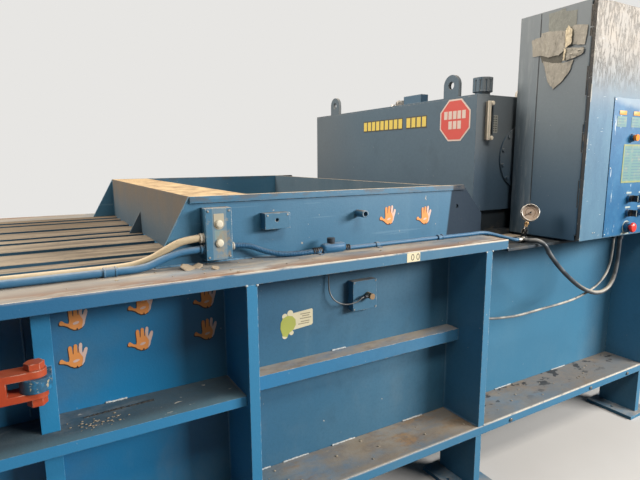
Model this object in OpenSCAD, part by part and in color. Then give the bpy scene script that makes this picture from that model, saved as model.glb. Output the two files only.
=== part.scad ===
// Recycling baler, horizontal, with a closed end door.
// Millimetres, +Z up. X runs along the machine towards the ram end and Y runs across it.
// The near side, with the controls, faces -Y. The origin is on the floor, under the centre of the feed opening.

/* [Frame] */
// Height of the deck, which is the top face of the ledges
deck_z = 1230; // [1180:5:1280]
// Half the width over the ledges
half_w = 1142; // [1100:1:1180]
// From the centre plane to the outer face of a side wall
wall_y = 914; // [880:1:930]
// Thickness of the walls, floor, rails, ledges and top plate
plate_t = 12; // [8:1:15]
// Depth of the turned-down lip of the ledges and rails
lip_h = 43; // [35:1:60]
// Height of the chamber floor
floor_z = 343; // [300:1:380]
// From the feed opening's centre to the bale door end
chamber_l = 1790; // [1700:5:1900]
// From the feed opening's centre to the rear end
rear_l = 2020; // [1980:5:2200]
// From the feed opening's centre to the right end of the ledges
ledge_end = 690; // [660:1:720]

/* [Posts, shelves and legs] */
// Width of a post and of a leg along the machine
post_w = 38; // [30:1:50]
// Wall of the posts' tube
tube_t = 8; // [5:1:10]
// From the feed opening's centre to the middle posts
post_x = 570; // [540:1:600]
// Width of the posts that carry the bale door
end_post_w = 50; // [40:1:70]
// How far the door posts and the latch post stand out from the wall
end_post_d = 114; // [90:1:130]
// Height of the shelves' top face
shelf_z = 786; // [700:1:860]
// Thickness of the shelves
shelf_t = 10; // [6:1:14]
// Depth of the left shelves
left_shelf_d = 199; // [170:1:215]
// Lip of the left shelves
left_shelf_lip = 36; // [25:1:50]
// Depth of the middle shelves
mid_shelf_d = 79; // [60:1:110]
// Lip of the middle shelves
mid_shelf_lip = 57; // [40:1:70]
// Length of a foot plate
foot_l = 220; // [180:5:280]
// Width of a foot plate
foot_w = 280; // [240:5:320]
// Thickness of a foot plate
foot_t = 20; // [12:1:30]
// Radius of an anchor hole
anchor_r = 9; // [6:0.5:13]
// From a leg's centre to an anchor hole
anchor_x = 75; // [50:1:80]
// Height of the cross beams under the floor
beam_h = 100; // [60:5:140]

/* [Feed hopper and slats] */
// Half the length of the feed opening
opening_half = 483; // [460:1:520]
// Height of the hopper's rim above the deck
hopper_h = 241; // [180:1:300]
// Width of the dusty top flange at the hopper's left end
hopper_flange_w = 219; // [180:1:240]
// Thickness of the hopper's flange and inner wall
hopper_t = 10; // [6:1:14]
// How far the left gussets reach along the deck
gusset_l = 132; // [90:1:180]
// Length of the side plates' top edge beyond the feed opening
side_tail = 145; // [120:1:170]
// Length of the slanted end of the side plates
side_slant = 132; // [80:1:160]
// Height of the slanted end of the side plates
side_slant_h = 144; // [100:1:170]
// Height of the bar along the hopper's rim
rim_h = 24; // [15:1:40]
// How far that bar stands out
rim_t = 8; // [4:1:12]
// Half the width of the centre slat
slat_centre = 45; // [35:1:50]
// Width of the slats beside it
slat_inner = 200; // [150:5:210]
// Width of the next slats
slat_outer = 220; // [180:5:230]
// Width of the narrow slats near the walls
slat_narrow = 82; // [60:1:90]
// Gap between slats
slat_gap = 62; // [50:1:65]
// Height of a slat
slat_h = 40; // [25:1:48]
// Depth of the beam over the end of the bale chamber
shear_h = 50; // [48:1:60]

/* [Ram and cylinder] */
// Length of the ram
ram_l = 980; // [970:5:1050]
// Gap between the feed opening and the ram's face at rest
ram_back = 37; // [25:1:60]
// Travel of the ram
stroke = 1150; // [900:5:1150]
// Thickness of the ram's face plate
ram_face_t = 40; // [25:1:60]
// Thickness of the ram's skin
ram_t = 14; // [8:1:20]
// Thickness of the wear and guide strips
strip_t = 6; // [4:1:10]
// Gap between the ram's top and the shear beam
shear_gap = 12; // [8:1:20]
// Thickness of the shear blade
blade_t = 20; // [12:1:25]
// Height of the shear blade
blade_h = 60; // [40:1:80]
// Thickness of the ram's knife
knife_t = 12; // [8:1:20]
// Height of the ram's knife
knife_h = 60; // [40:1:80]
// Radius of the piston rod
rod_r = 55; // [40:1:65]
// Inner radius of the cylinder
bore_r = 100; // [90:1:120]
// Outer radius of the cylinder
barrel_r = 115; // [110:1:140]
// Length of the piston
piston_l = 48; // [30:1:60]
// Radius of the cylinder's rear pin
pin_r = 30; // [20:1:35]

/* [Bale door] */
// Thickness of the door plate
door_t = 16; // [10:1:25]
// Gap between the closed door and the frame
door_gap = 2; // [1:0.5:4]
// How far the door covers the frame at each side
door_lap = 86; // [60:1:95]
// Depth of the door's ribs
rib_d = 80; // [50:1:120]
// Height of a rib
rib_h = 60; // [40:1:80]
// Radius of a hinge pin
hinge_pin_r = 16; // [10:1:18]
// Outer radius of a hinge knuckle
knuckle_r = 28; // [24:1:32]
// Height of a hinge knuckle
knuckle_h = 60; // [40:1:80]

/* [Door latch] */
// From the feed opening's centre to the latch bolt
latch_x = 1211; // [1190:1:1240]
// Height of the turnbuckle
latch_z = 977; // [930:1:1040]
// How far the turnbuckle lies from the latch post
latch_d = 52; // [48:1:60]
// Radius of the latch bolt
latch_bolt_r = 15; // [10:1:18]
// Thickness of the latch lug
lug_t = 40; // [25:1:50]
// Radius of the latch lug's end
lug_r = 42; // [30:1:45]
// Thickness of a fork arm
fork_t = 21; // [12:1:28]
// Half the width of a fork arm
fork_half = 30; // [20:1:36]
// Radius of the turnbuckle's rod
latch_rod_r = 14; // [10:1:16]
// Outer radius of the sleeve
sleeve_r = 30; // [27:1:36]
// Length of the sleeve
sleeve_l = 300; // [220:5:340]
// Length of the T-head
head_l = 90; // [60:1:96]
// Thickness of the T-head
head_t = 32; // [30:1:34]

/* [Oil tank] */
// From the feed opening's centre to the tank's front
tank_x = 810; // [790:1:840]
// Length of the tank
tank_l = 670; // [500:5:700]
// Half the width of the tank
tank_half = 808; // [750:1:815]
// Height of the tank without its lid
tank_h = 587; // [400:1:650]
// Height of the bearers under the tank
bearer_h = 135; // [100:1:160]
// Thickness of the bearers' foot
bearer_foot_t = 27; // [15:1:40]
// Wall of the tank
tank_t = 6; // [4:1:8]
// Thickness of the lid
lid_t = 8; // [6:1:12]
// Radius of the clean-out cover
cover_r = 165; // [120:1:180]
// Radius of the rounded top of a lifting lug
lift_r = 55; // [40:1:60]
// Radius of a lifting hole
lift_hole_r = 20; // [12:1:24]
// Thickness of a lifting lug
lift_t = 20; // [12:1:30]
// Radius of the filler cap
cap_r = 50; // [44:1:56]
// Height of the filler cap
cap_h = 72; // [40:1:90]

/* [Motor and pump] */
// Radius of the motor's body
motor_r = 140; // [110:1:160]
// Length of the motor's body
motor_l = 420; // [340:5:450]
// Radius of the shaft
shaft_r = 19; // [12:1:24]

/* [Control cabinet] */
// From the feed opening's centre to the cabinet's left face
cab_x = 1072; // [1040:1:1100]
// Width of the cabinet
cab_w = 700; // [660:5:900]
// Height of the cabinet
cab_h = 1100; // [1000:5:1200]
// How far the cabinet stands out beyond the ledges
cab_out = 98; // [85:1:140]
// From the cabinet door's front to the cabinet's back
cab_d = 401; // [360:1:405]
// Gap between the cabinet and the top plate
cab_lift = 13; // [8:1:30]
// Sheet of the cabinet
cab_t = 4; // [2:0.5:6]
// Thickness of the cabinet door
cab_door_t = 17; // [12:1:20]
// Gap between the cabinet and its door
cab_seam = 10; // [10:1:14]
// Width of the control plate
plate_w = 420; // [380:5:425]
// From the cabinet's left face to the control plate
plate_x = 193; // [150:1:220]
// Height of the control plate
plate_h = 676; // [600:1:760]
// From the control plate's left edge to the row of controls
control_x = 197; // [150:1:240]

/* [Wall boxes, gauge and conduits] */
// Width of the station box
station_w = 95; // [70:1:110]
// Height of the station box
station_h = 183; // [140:1:200]
// Depth of the station box with its cover
station_d = 56; // [40:1:70]
// Radius of the pressure gauge
gauge_r = 42; // [30:1:50]
// Radius of the conduits to the left
conduit_r = 13; // [8:1:14]
// Radius of the conduit to the right
small_conduit_r = 9; // [6:1:10]
// Radius of the pressure hose
hose_r = 11; // [6:1:12]
// Radius of the control cable
cable_r = 6; // [4:1:8]
// Radius of the sensor lead
lead_r = 3; // [2:0.5:4]

/* [Hidden] */

$fn = 48;
eps = 0.01;
run_gap = 0.05;   // radial clearance of a pin or shaft in its bore
rest_gap = 0.3;   // clearance between faces that slide on each other
tube_gap = 0.3;   // clearance of a fixed tube or cord in its collar

paint = [0.16, 0.38, 0.58];
paint_dark = [0.10, 0.24, 0.36];
dust = [0.62, 0.55, 0.46];
steel = [0.62, 0.63, 0.65];
orange = [0.85, 0.30, 0.16];
pale = [0.85, 0.83, 0.74];
black = [0.08, 0.08, 0.09];

// Frame
wall_in = wall_y - plate_t;
floor_under = floor_z - plate_t;
ledge_under = deck_z - plate_t;
lip_z = deck_z - lip_h;
rear_deck_z = lip_z;
rear_under = rear_deck_z - plate_t;
leg_out = half_w - plate_t;
rear_post_x = rear_l - post_w / 2;
end_leg_x = -chamber_l + end_post_w / 2;
leg_xs = [end_leg_x, -post_x, post_x, rear_post_x];
leg_top = floor_under;

// Hopper and slats
rim_z = deck_z + hopper_h;
hopper_x = -opening_half - hopper_flange_w;
beam_under = deck_z - shear_h;
header_x = -chamber_l + end_post_w;
header_h = 150;
slat_1 = slat_centre + slat_gap - 7;
slat_2 = slat_1 + slat_inner + slat_gap + 10;
slat_3 = slat_2 + slat_outer + slat_gap - 4;
slat_4 = slat_3 + slat_narrow + slat_gap;

// Ram and cylinder
ram_x = opening_half + ram_back;
ram_end = ram_x + ram_l;
ram_y = wall_in - strip_t - rest_gap;
ram_low = floor_z + strip_t + rest_gap;
ram_top = beam_under - shear_gap;
axis_z = (ram_low + ram_top) / 2;
flange_x = ram_x + ram_face_t;
flange_t = 30;
flange_r = 110;
gland_x = flange_x + flange_t + 10;
gland_flange_t = 12;
gland_l = 34;
barrel_x = gland_x + gland_flange_t;
piston_x = barrel_x + gland_l + 4 + stroke;
cap_x = piston_x + piston_l + 2;
cap_t = 30;
barrel_end = cap_x + cap_t;
eye_r = 1.75 * pin_r;
eye_x = barrel_end + eye_r + 8;
eye_half = 35;
ear_t = 30;
ear_gap = 1;
port_r = 22;
port_h = 25;
line_r = 9;

// Bale door
door_x = -chamber_l - door_gap;
door_out = door_x - door_t;
rib_out = door_out - rib_d;
door_half = wall_y + door_lap;
door_low = floor_z + 17;
door_top = deck_z + 10;
hinge_x = door_out - 22;
hinge_y = wall_y + end_post_d + 42;
arm_t = 20;
hinge_zs = [door_low + 90, shelf_z, door_top - 90];

// Latch
latch_y = -(wall_y + end_post_d + latch_d);
arm_low = latch_z - lug_t / 2 - rest_gap - fork_t;
arm_high = latch_z + lug_t / 2 + rest_gap;
yoke_x = -latch_x - lug_r - 29;
yoke_t = 43;
sleeve_x = yoke_x - yoke_t - 20;
sleeve_end = sleeve_x - sleeve_l;
sleeve_wall = 30;
collar_r = 20;
collar_t = 16;
cavity_r = 23;
rod_in = sleeve_x - sleeve_l / 2 - 5;
keeper_t = 20;
keeper_x = door_out - keeper_t;
head_x = keeper_x - 1;
slot_half = head_t / 2 + 4;
nut_t = 18;
latch_post_w = 51;
latch_post_x = -latch_x;

// Tank
tank_z = rear_deck_z + bearer_h;
tank_top = tank_z + tank_h;
lid_z = tank_top + lid_t;
tank_end = tank_x + tank_l;
cover_x = tank_x + 348;
cover_z = tank_z + 278;
cover_hole_r = cover_r - 25;
lug_ys = [-625, 545];
lug_rise = 62;
filler_x = tank_x + 95;
filler_y = -tank_half + 53;
neck_r = 38;
neck_bore = 30;
neck_h = 18;

// Motor
motor_x = tank_end + 260;
motor_y = -180;
motor_z = rear_deck_z + 190;
cowl_l = 90;
bell_l = 130;
pump_l = 170;
pump_r = 62;

// Cabinet
cab_front = -half_w - cab_out;
cab_back = cab_front + cab_d;
door_back = cab_front + cab_door_t;
shell_front = door_back + cab_seam;
cab_z = rear_deck_z + cab_lift;
cab_top = cab_z + cab_h;
cab_end = cab_x + cab_w;
flange_in = 22;
hinge_line_y = door_back + cab_seam / 2;
piano_r = cab_seam / 2 - rest_gap;
piano_pin_r = 2.5;
piano_z0 = cab_z + 30;
piano_n = 8;
piano_l = (cab_h - 60) / piano_n;
handle_x = cab_end - 55;
handle_z = cab_z + cab_h / 2;
handle_shaft_r = 8;
plate_front = cab_front - 3;
plate_x0 = cab_x + plate_x;
plate_z0 = cab_z + 5;
column_x = plate_x0 + control_x;
amber_x = column_x - 22;
column_right = column_x + 115;
amber_z = plate_z0 + 488;
selector_z = plate_z0 + 185;
selector_step = 74;
stop_z = plate_z0 + 38;
bezel_r = 20;
bezel_t = 12;
stop_bezel_r = 28;
stop_bezel_t = 18;
stem_r = 11;
controls = [[amber_x, amber_z], [column_x, selector_z], [column_x, selector_z - selector_step],
    [column_x, stop_z]];

// Wall boxes and gauge
station_x = -617;
station_z = deck_z + 18;
gauge_foot = [897, -1060];
block_h = 30;
gauge_lean = 19;
gauge_turn = 45;
gauge_rise = 118;
case_d = 32;
gauge_centre = [gauge_foot[0] + gauge_rise * sin(gauge_lean), gauge_foot[1],
    rear_deck_z + block_h + gauge_rise * cos(gauge_lean)];

// Routes of the conduits and cords
tan_route = [[-664.5, -942, 1326], [-680, -942, 1326], [-692, -942, 1326], [-747, -938, 1317], [-797, -932, 1293],
    [-846, -921, 1266], [-905, -906, 1248], [-987, -900, 1243.5], [-1119, -900, 1243.5], [-1400, -900, 1243.5],
    [-1720, -900, 1243.5]];
blue_route = [[-664.5, -942, 1286], [-680, -942, 1286], [-692, -942, 1286], [-750, -943, 1282],
    [-803, -948, 1268], [-854, -952, 1250], [-895, -956, 1244], [-930, -958, 1243.5], [-955, -958, 1243.5],
    [-1122, -958, 1243.5], [-1400, -958, 1243.5], [-1720, -958, 1243.5]];
right_route = [[-569.5, -942, 1288], [-555, -942, 1288], [-545, -942, 1288], [-493, -945, 1281], [-438, -955, 1259],
    [-381, -966, 1244], [-320, -973, 1239.5], [-240, -975, 1239.5], [-205, -975, 1239.5], [0, -975, 1239.5],
    [300, -975, 1239.5], [450, -975, 1239.5], [600, -978, 1239.5], [706, -985, 1239.5], [780, -1015, 1222],
    [835, -1055, 1205], [860, -1060, 1203], [881.5, -1060, 1203]];
hose_route = [[897, -1075.5, 1200], [897, -1105, 1201], [900, -1140, 1204], [915, -1169, 1187],
    [957, -1174, 1135], [1031, -1180, 1064], [1109, -1186, 1003], [1193, -1190, 949], [1280, -1191, 912],
    [1340, -1192, 898], [1400, -1192, 898], [1455, -1192, 920], [1490, -1192, 970], [1507, -1192, 1043],
    [1511, -1192, 1120], [1511, -1192, 1176]];
cable_route = [[596, -1030, 830], [640, -1032, 829], [710, -1050, 824], [780, -1075, 825], [858, -1100, 831],
    [1001, -1130, 851], [1110, -1150, 864], [1199, -1165, 880], [1310, -1175, 911], [1380, -1180, 945],
    [1430, -1183, 990], [1456, -1184, 1045], [1465, -1185, 1110], [1466, -1186, 1182]];
lead_route = [[16, -975, 1020], [8, -975, 1020], [2, -975, 1020], [-12, -974, 1014], [-30, -970, 1002], [-68, -960, 995],
    [-103, -950, 1003], [-128, -942, 1023], [-141, -935, 1050], [-144, -931, 1080], [-144, -930, 1120],
    [-144, -930, 1160], [-144, -930, 1206]];

function unit(v) = v / norm(v);

// A point of a smooth curve through the points p, at u along stretch k
function curve_point(p, k, u) =
    let (n = len(p) - 1, a = p[max(k - 1, 0)], b = p[k], c = p[k + 1], d = p[min(k + 2, n)])
    0.5 * (2 * b + (c - a) * u + (2 * a - 5 * b + 4 * c - d) * u * u + (3 * b - a - 3 * c + d) * u * u * u);

function curve(p, steps) =
    concat([for (k = [0 : len(p) - 2], s = [0 : steps - 1]) curve_point(p, k, s / steps)], [p[len(p) - 1]]);

// A block between two opposite corners
module block(a, b) {
    translate(a) cube(b - a);
}

// The same piece on both sides of the centre plane
module both_sides() {
    children();
    mirror([0, 1, 0]) children();
}

// A flat outline in X and Z, extruded along Y from y0 by t
module upright(y0, t) {
    translate([0, y0 + t, 0]) rotate([90, 0, 0]) linear_extrude(t) children();
}

// A flat outline in Y and Z, extruded along X from x0 by t
module crosswise(x0, t) {
    translate([x0, 0, 0]) rotate([90, 0, 90]) linear_extrude(t) children();
}

// Cylinders along X and along Y
module rod_x(x0, x1, y, z, r) {
    translate([x0, y, z]) rotate([0, 90, 0]) cylinder(h = x1 - x0, r = r);
}

module rod_y(y0, y1, x, z, r) {
    translate([x, y1, z]) rotate([90, 0, 0]) cylinder(h = y1 - y0, r = r);
}

// A hexagonal head or nut along Z
module hex(x, y, z0, h, r) {
    translate([x, y, z0]) cylinder(h = h, r = r, $fn = 6);
}

// A square tube standing on z0
module tube_post(x0, w, y0, y1, z0, z1) {
    difference() {
        block([x0, y0, z0], [x0 + w, y1, z1]);
        block([x0 + tube_t, y0 + tube_t, z0 - 1], [x0 + w - tube_t, y1 - tube_t, z1 + 1]);
    }
}

// A flexible or bent round tube along a route, with its sides counted from a fixed direction
module sweep(p, r, sides, steps, side_dir) {
    c = curve(p, steps);
    n = len(c);
    points = [for (i = [0 : n - 1])
        let (t = unit(c[min(i + 1, n - 1)] - c[max(i - 1, 0)]), b = unit(cross(t, side_dir)), m = cross(b, t))
        for (j = [0 : sides - 1]) c[i] + r * (cos(360 * j / sides) * m + sin(360 * j / sides) * b)];
    walls = [for (i = [0 : n - 2], j = [0 : sides - 1])
        [i * sides + j, i * sides + (j + 1) % sides, (i + 1) * sides + (j + 1) % sides, (i + 1) * sides + j]];
    ends = [[for (j = [0 : sides - 1]) sides - 1 - j], [for (j = [0 : sides - 1]) (n - 1) * sides + j]];
    polyhedron(points = points, faces = concat(walls, ends), convexity = 6);
}

// Floor plate with the channels that stiffen it between the legs
module floor_frame() color(paint) {
    block([-chamber_l, -wall_in, floor_under], [rear_l, wall_in, floor_z]);
    for (x = leg_xs) {
        block([x - post_w / 2, -wall_in, floor_under - beam_h], [x - post_w / 2 + tube_t, wall_in, floor_under]);
        block([x - post_w / 2, -wall_in, floor_under - beam_h],
            [x + post_w / 2, wall_in, floor_under - beam_h + tube_t]);
        block([x - post_w / 2, -wall_in, floor_under - tube_t], [x + post_w / 2, wall_in, floor_under]);
    }
}

// Side walls, lower beside the ram housing than beside the bale chamber
module side_walls() color(paint) both_sides() upright(-wall_y, plate_t) polygon([
    [-chamber_l, floor_z], [rear_l, floor_z], [rear_l, rear_under], [ledge_end, rear_under],
    [ledge_end, ledge_under], [-chamber_l, ledge_under]]);

// Angle along each side that carries the posts
module side_rails() color(paint) both_sides() {
    block([-chamber_l, -half_w, floor_under], [rear_l, -wall_in, floor_z]);
    block([-chamber_l, -half_w, floor_z - lip_h], [rear_l, -leg_out, floor_under]);
}

// Angle along the top of each side
module side_ledges() color(paint) both_sides() {
    block([-chamber_l, -half_w, ledge_under], [ledge_end, -wall_in, deck_z]);
    block([-chamber_l, -half_w, lip_z], [ledge_end, -leg_out, ledge_under]);
}

// Tube posts between the rail and the ledge, and the shallower ones that carry the bale door
module side_posts() color(paint) both_sides() {
    for (x = [-post_x, post_x])
        tube_post(x - post_w / 2, post_w, -half_w, -wall_y, floor_z, lip_z);
    tube_post(rear_post_x - post_w / 2, post_w, -half_w, -wall_y, floor_z, rear_under);
    tube_post(-chamber_l, end_post_w, -wall_y - end_post_d, -wall_y, floor_z, ledge_under);
}

// Post with the turnbuckle's lug, above and below the left shelf
module latch_post() color(paint) {
    difference() {
        union() {
            tube_post(latch_post_x, latch_post_w, -wall_y - end_post_d, -wall_y, shelf_z, ledge_under);
            translate([0, 0, latch_z - lug_t / 2]) linear_extrude(lug_t) {
                translate([-latch_x, latch_y]) circle(lug_r);
                translate([-latch_x - lug_r, latch_y]) square([2 * lug_r, latch_d]);
            }
        }
        translate([-latch_x, latch_y, 0]) cylinder(h = 2 * latch_z, r = latch_bolt_r + run_gap);
    }
    tube_post(latch_post_x, latch_post_w, -wall_y - end_post_d, -wall_y, floor_z, shelf_z - shelf_t);
}

// Stiffening shelves with a turned-down lip
module shelf(x0, x1, depth, lip) {
    block([x0, -wall_y - depth, shelf_z - shelf_t], [x1, -wall_y, shelf_z]);
    block([x0, -wall_y - depth, shelf_z - lip], [x1, -wall_y - depth + shelf_t, shelf_z - shelf_t]);
}

module side_shelves() color(paint) both_sides() {
    shelf(header_x, -post_x - post_w / 2, left_shelf_d, left_shelf_lip);
    shelf(-post_x + post_w / 2, post_x - post_w / 2, mid_shelf_d, mid_shelf_lip);
}

// Legs on foot plates with two anchor holes each
module legs() color(paint) both_sides() for (x = leg_xs) {
    tube_post(x - post_w / 2, post_w, -leg_out, -wall_in, foot_t, leg_top);
    difference() {
        translate([x - foot_l / 2, -(leg_out + wall_in) / 2 - foot_w / 2, 0]) cube([foot_l, foot_w, foot_t]);
        for (s = [-1, 1])
            translate([x + s * anchor_x, -(leg_out + wall_in) / 2, -1]) cylinder(h = foot_t + 2, r = anchor_r);
    }
}

// Plate over the ram housing, narrower where it lies between the walls
module top_plate() color(paint) translate([0, 0, rear_under]) linear_extrude(plate_t) polygon([
    [opening_half, -wall_in], [ledge_end, -wall_in], [ledge_end, -half_w], [rear_l, -half_w],
    [rear_l, half_w], [ledge_end, half_w], [ledge_end, wall_in], [opening_half, wall_in]]);

// One slat: a channel with its open side down
module slat(y0, y1) difference() {
    block([header_x, y0, deck_z - slat_h], [hopper_x, y1, deck_z]);
    block([header_x - 1, y0 + tube_t, deck_z - slat_h - 1], [hopper_x + 1, y1 - tube_t, deck_z - tube_t]);
}

// Slats over the bale chamber, with gaps for the tie wires
module deck_slats() color(dust) {
    slat(-slat_centre, slat_centre);
    both_sides() {
        slat(-slat_1 - slat_inner, -slat_1);
        slat(-slat_2 - slat_outer, -slat_2);
        slat(-slat_3 - slat_narrow, -slat_3);
        slat(-wall_in, -slat_4);
    }
}

// Tube over the bale door's opening
module door_header() color(paint) difference() {
    block([-chamber_l, -wall_in, beam_under], [header_x, wall_in, beam_under + header_h]);
    block([-chamber_l + tube_t, -wall_in + tube_t, beam_under + tube_t],
        [header_x - tube_t, wall_in + 1, beam_under + header_h - tube_t]);
}

// Beam at the hopper's left end that backs the shear blade
module shear_beam() color(paint) difference() {
    block([hopper_x, -wall_in, beam_under], [-opening_half - hopper_t, wall_in, deck_z]);
    block([hopper_x + plate_t, -wall_in - 1, beam_under + plate_t],
        [-opening_half - hopper_t - plate_t, wall_in + 1, deck_z - plate_t]);
}

module shear_blade() color(steel) difference() {
    block([-opening_half, -ram_y, beam_under], [-opening_half + blade_t, ram_y, beam_under + blade_h]);
    for (i = [-4 : 4])
        rod_x(-opening_half + blade_t - 8, -opening_half + blade_t + 1, i * ram_y / 5, beam_under + blade_h / 2, 10);
}

// Side plates of the feed hopper with their left gussets, slanted right ends and rim bars
module hopper_sides() color(paint) both_sides() difference() {
    union() {
        upright(-wall_y, plate_t) polygon([
            [hopper_x - gusset_l, deck_z], [hopper_x, rim_z], [opening_half + side_tail, rim_z],
            [opening_half + side_tail + side_slant, rim_z - side_slant_h],
            [opening_half + side_tail + side_slant, rear_deck_z], [ledge_end, rear_deck_z],
            [ledge_end, deck_z]]);
        block([hopper_x, -wall_y - rim_t, rim_z - rim_h], [opening_half + side_tail, -wall_y, rim_z]);
    }
    rod_y(-wall_y - 1, -wall_in + 1, opening_half + 107, rim_z - 101, 9);
}

// Left wall with its wide top flange, inner wall and small gusset, and the right wall
module hopper_end_walls() color(paint) {
    upright(-wall_in, 2 * wall_in) polygon([
        [hopper_x, deck_z], [hopper_x, rim_z], [-opening_half, rim_z], [-opening_half, beam_under],
        [-opening_half - hopper_t, beam_under], [-opening_half - hopper_t, rim_z - hopper_t],
        [hopper_x + hopper_t, rim_z - hopper_t], [hopper_x + hopper_t, deck_z]]);
    upright(-hopper_t / 2, hopper_t) polygon([[hopper_x - 60, deck_z], [hopper_x, deck_z + 110],
        [hopper_x + 1, deck_z + 110], [hopper_x + 1, deck_z]]);
    block([opening_half, -wall_in, rear_deck_z], [opening_half + plate_t, wall_in, rim_z]);
}

// Rear plate with the ears that hold the cylinder
module rear_plate() color(paint) difference() {
    union() {
        block([rear_l, -half_w, floor_under], [rear_l + tube_t, half_w, rear_deck_z]);
        for (s = [-1, 1])
            upright(s * (eye_half + ear_gap + ear_t / 2) - ear_t / 2, ear_t) {
                translate([eye_x, axis_z]) circle(eye_r);
                translate([eye_x, axis_z - eye_r]) square([rear_l - eye_x, 2 * eye_r]);
            }
    }
    rod_y(-2 * eye_half - 2 * ear_t, 2 * eye_half + 2 * ear_t, eye_x, axis_z, pin_r + run_gap);
}

// Strips that the ram slides on, below it and at its sides
module guide_strips() color(steel) {
    for (y = [-740, -270, 210, 680])
        block([-ram_end / 2, y, floor_z], [ram_end + 100, y + 60, floor_z + strip_t]);
    both_sides() for (z = [floor_z + 110, ram_top - 130])
        block([-ram_end / 2, -wall_in, z], [ram_end + 100, -wall_in + strip_t, z + 60]);
}

// Ram: a box with a thick face, open at the rear for the cylinder
module ram_body() color(paint) {
    difference() {
        block([ram_x, -ram_y, ram_low], [ram_end, ram_y, ram_top]);
        block([flange_x, -ram_y + ram_t, ram_low + ram_t], [ram_end + 1, ram_y - ram_t, ram_top - ram_t]);
    }
    for (y = [-ram_y / 3, ram_y / 3])
        upright(y - ram_t / 2, ram_t) polygon([[flange_x, ram_low + ram_t], [flange_x + 320, ram_low + ram_t],
            [flange_x + 60, ram_top - ram_t], [flange_x, ram_top - ram_t]]);
}

module ram_knife() color(steel) difference() {
    upright(-ram_y + 5, 2 * ram_y - 10) polygon([[ram_x, ram_top - knife_h], [ram_x, ram_top],
        [ram_x - knife_t, ram_top], [ram_x - knife_t + 4, ram_top - knife_h]]);
    for (i = [-4 : 4])
        rod_x(ram_x - knife_t - 1, ram_x - knife_t + 6, i * ram_y / 5, ram_top - knife_h / 2, 9);
}

// Rod with the piston at one end and the bolted flange at the other
module piston_rod() color(steel) {
    rod_x(flange_x, flange_x + flange_t, 0, axis_z, flange_r);
    rod_x(flange_x, piston_x + piston_l, 0, axis_z, rod_r);
    rod_x(piston_x, piston_x + piston_l, 0, axis_z, bore_r - run_gap);
    for (a = [0 : 45 : 315])
        translate([flange_x + flange_t, 0, axis_z]) rotate([a, 0, 0]) translate([0, 0, flange_r - 22])
            rotate([0, 90, 0]) cylinder(h = 9, r = 13, $fn = 6);
}

// Cylinder with its rear eye and the line to its front port
module cylinder_barrel() color(paint_dark) difference() {
    union() {
        rod_x(barrel_x, barrel_end, 0, axis_z, barrel_r);
        upright(-eye_half, 2 * eye_half) {
            translate([eye_x, axis_z]) circle(eye_r);
            translate([cap_x, axis_z - eye_r]) square([eye_x - cap_x, 2 * eye_r]);
        }
        for (x = [barrel_x + gland_l + 30, cap_x - 30])
            translate([x, 0, axis_z]) cylinder(h = barrel_r + port_h, r = port_r);
        rod_x(barrel_x + gland_l + 30, cap_x - 30, 0, axis_z + barrel_r + port_h / 2, line_r);
    }
    rod_x(barrel_x - 1, cap_x, 0, axis_z, bore_r);
    rod_y(-eye_half - 1, eye_half + 1, eye_x, axis_z, pin_r + run_gap);
}

module cylinder_gland() color(steel) difference() {
    union() {
        rod_x(gland_x, barrel_x, 0, axis_z, barrel_r);
        rod_x(gland_x, barrel_x + gland_l, 0, axis_z, bore_r - run_gap);
    }
    rod_x(gland_x - 1, barrel_x + gland_l + 1, 0, axis_z, rod_r + run_gap);
}

// Pin through the cylinder's eye, with a head at one end
module cylinder_pin() color(steel) {
    pin_half = eye_half + ear_gap + ear_t;
    rod_y(-pin_half - 12, pin_half + 8, eye_x, axis_z, pin_r);
    rod_y(-pin_half - 14, -pin_half - 1, eye_x, axis_z, pin_r + 10);
}

module bale_door() color(paint)
    block([door_out, -door_half, door_low], [door_x, door_half, door_top]);

// A hinge knuckle with the arm that carries it
module knuckle(z, h, x1, y1) difference() {
    union() {
        translate([hinge_x, hinge_y, z]) cylinder(h = h, r = knuckle_r);
        children();
    }
    translate([hinge_x, hinge_y, z - 1]) cylinder(h = h + 2, r = hinge_pin_r + run_gap);
}

// Ribs and stiles of the bale door, its knuckles, and the slotted keeper for the latch
module door_frame() color(paint) {
    rib_step = (door_top - door_low - rib_h) / 4;
    difference() {
        union() {
            for (i = [0 : 4])
                block([rib_out, -door_half + 20, door_low + i * rib_step],
                    [door_out, door_half - 20, door_low + i * rib_step + rib_h]);
            for (y = [-door_half + 20, door_half - 60])
                block([rib_out, y, door_low], [door_out, y + 40, door_top]);
        }
        for (i = [0 : 4])
            block([rib_out + tube_t, -door_half + 60, door_low + i * rib_step + tube_t],
                [door_out + 1, door_half - 60, door_low + i * rib_step + rib_h - tube_t]);
    }
    for (z = hinge_zs) knuckle(z, knuckle_h)
        block([door_out - arm_t, door_half - 20, z], [door_out, hinge_y, z + knuckle_h]);
}

// Keeper of the latch: a lug with an open slot, on the edge of the door frame
module latch_keeper() color(paint) difference() {
    block([keeper_x, latch_y - 70, latch_z - 55], [door_out, -door_half + 20, latch_z + 55]);
    block([keeper_x - 1, latch_y - 71, latch_z - slot_half],
        [door_out + 1, latch_y + head_l / 2 + 5, latch_z + slot_half]);
}

// Knuckles on the far door post, with their pins
module hinge_brackets() color(paint) for (z = hinge_zs) {
    translate([hinge_x, hinge_y, z - rest_gap - knuckle_h]) cylinder(h = knuckle_h, r = knuckle_r);
    block([hinge_x, wall_y + end_post_d, z - rest_gap - knuckle_h],
        [header_x, wall_y + end_post_d + arm_t, z - rest_gap]);
    block([hinge_x, wall_y + end_post_d, z - rest_gap - knuckle_h],
        [hinge_x + arm_t, hinge_y, z - rest_gap]);
    translate([hinge_x, hinge_y, z - rest_gap - eps]) cylinder(h = knuckle_h + 6, r = hinge_pin_r);
}

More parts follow.
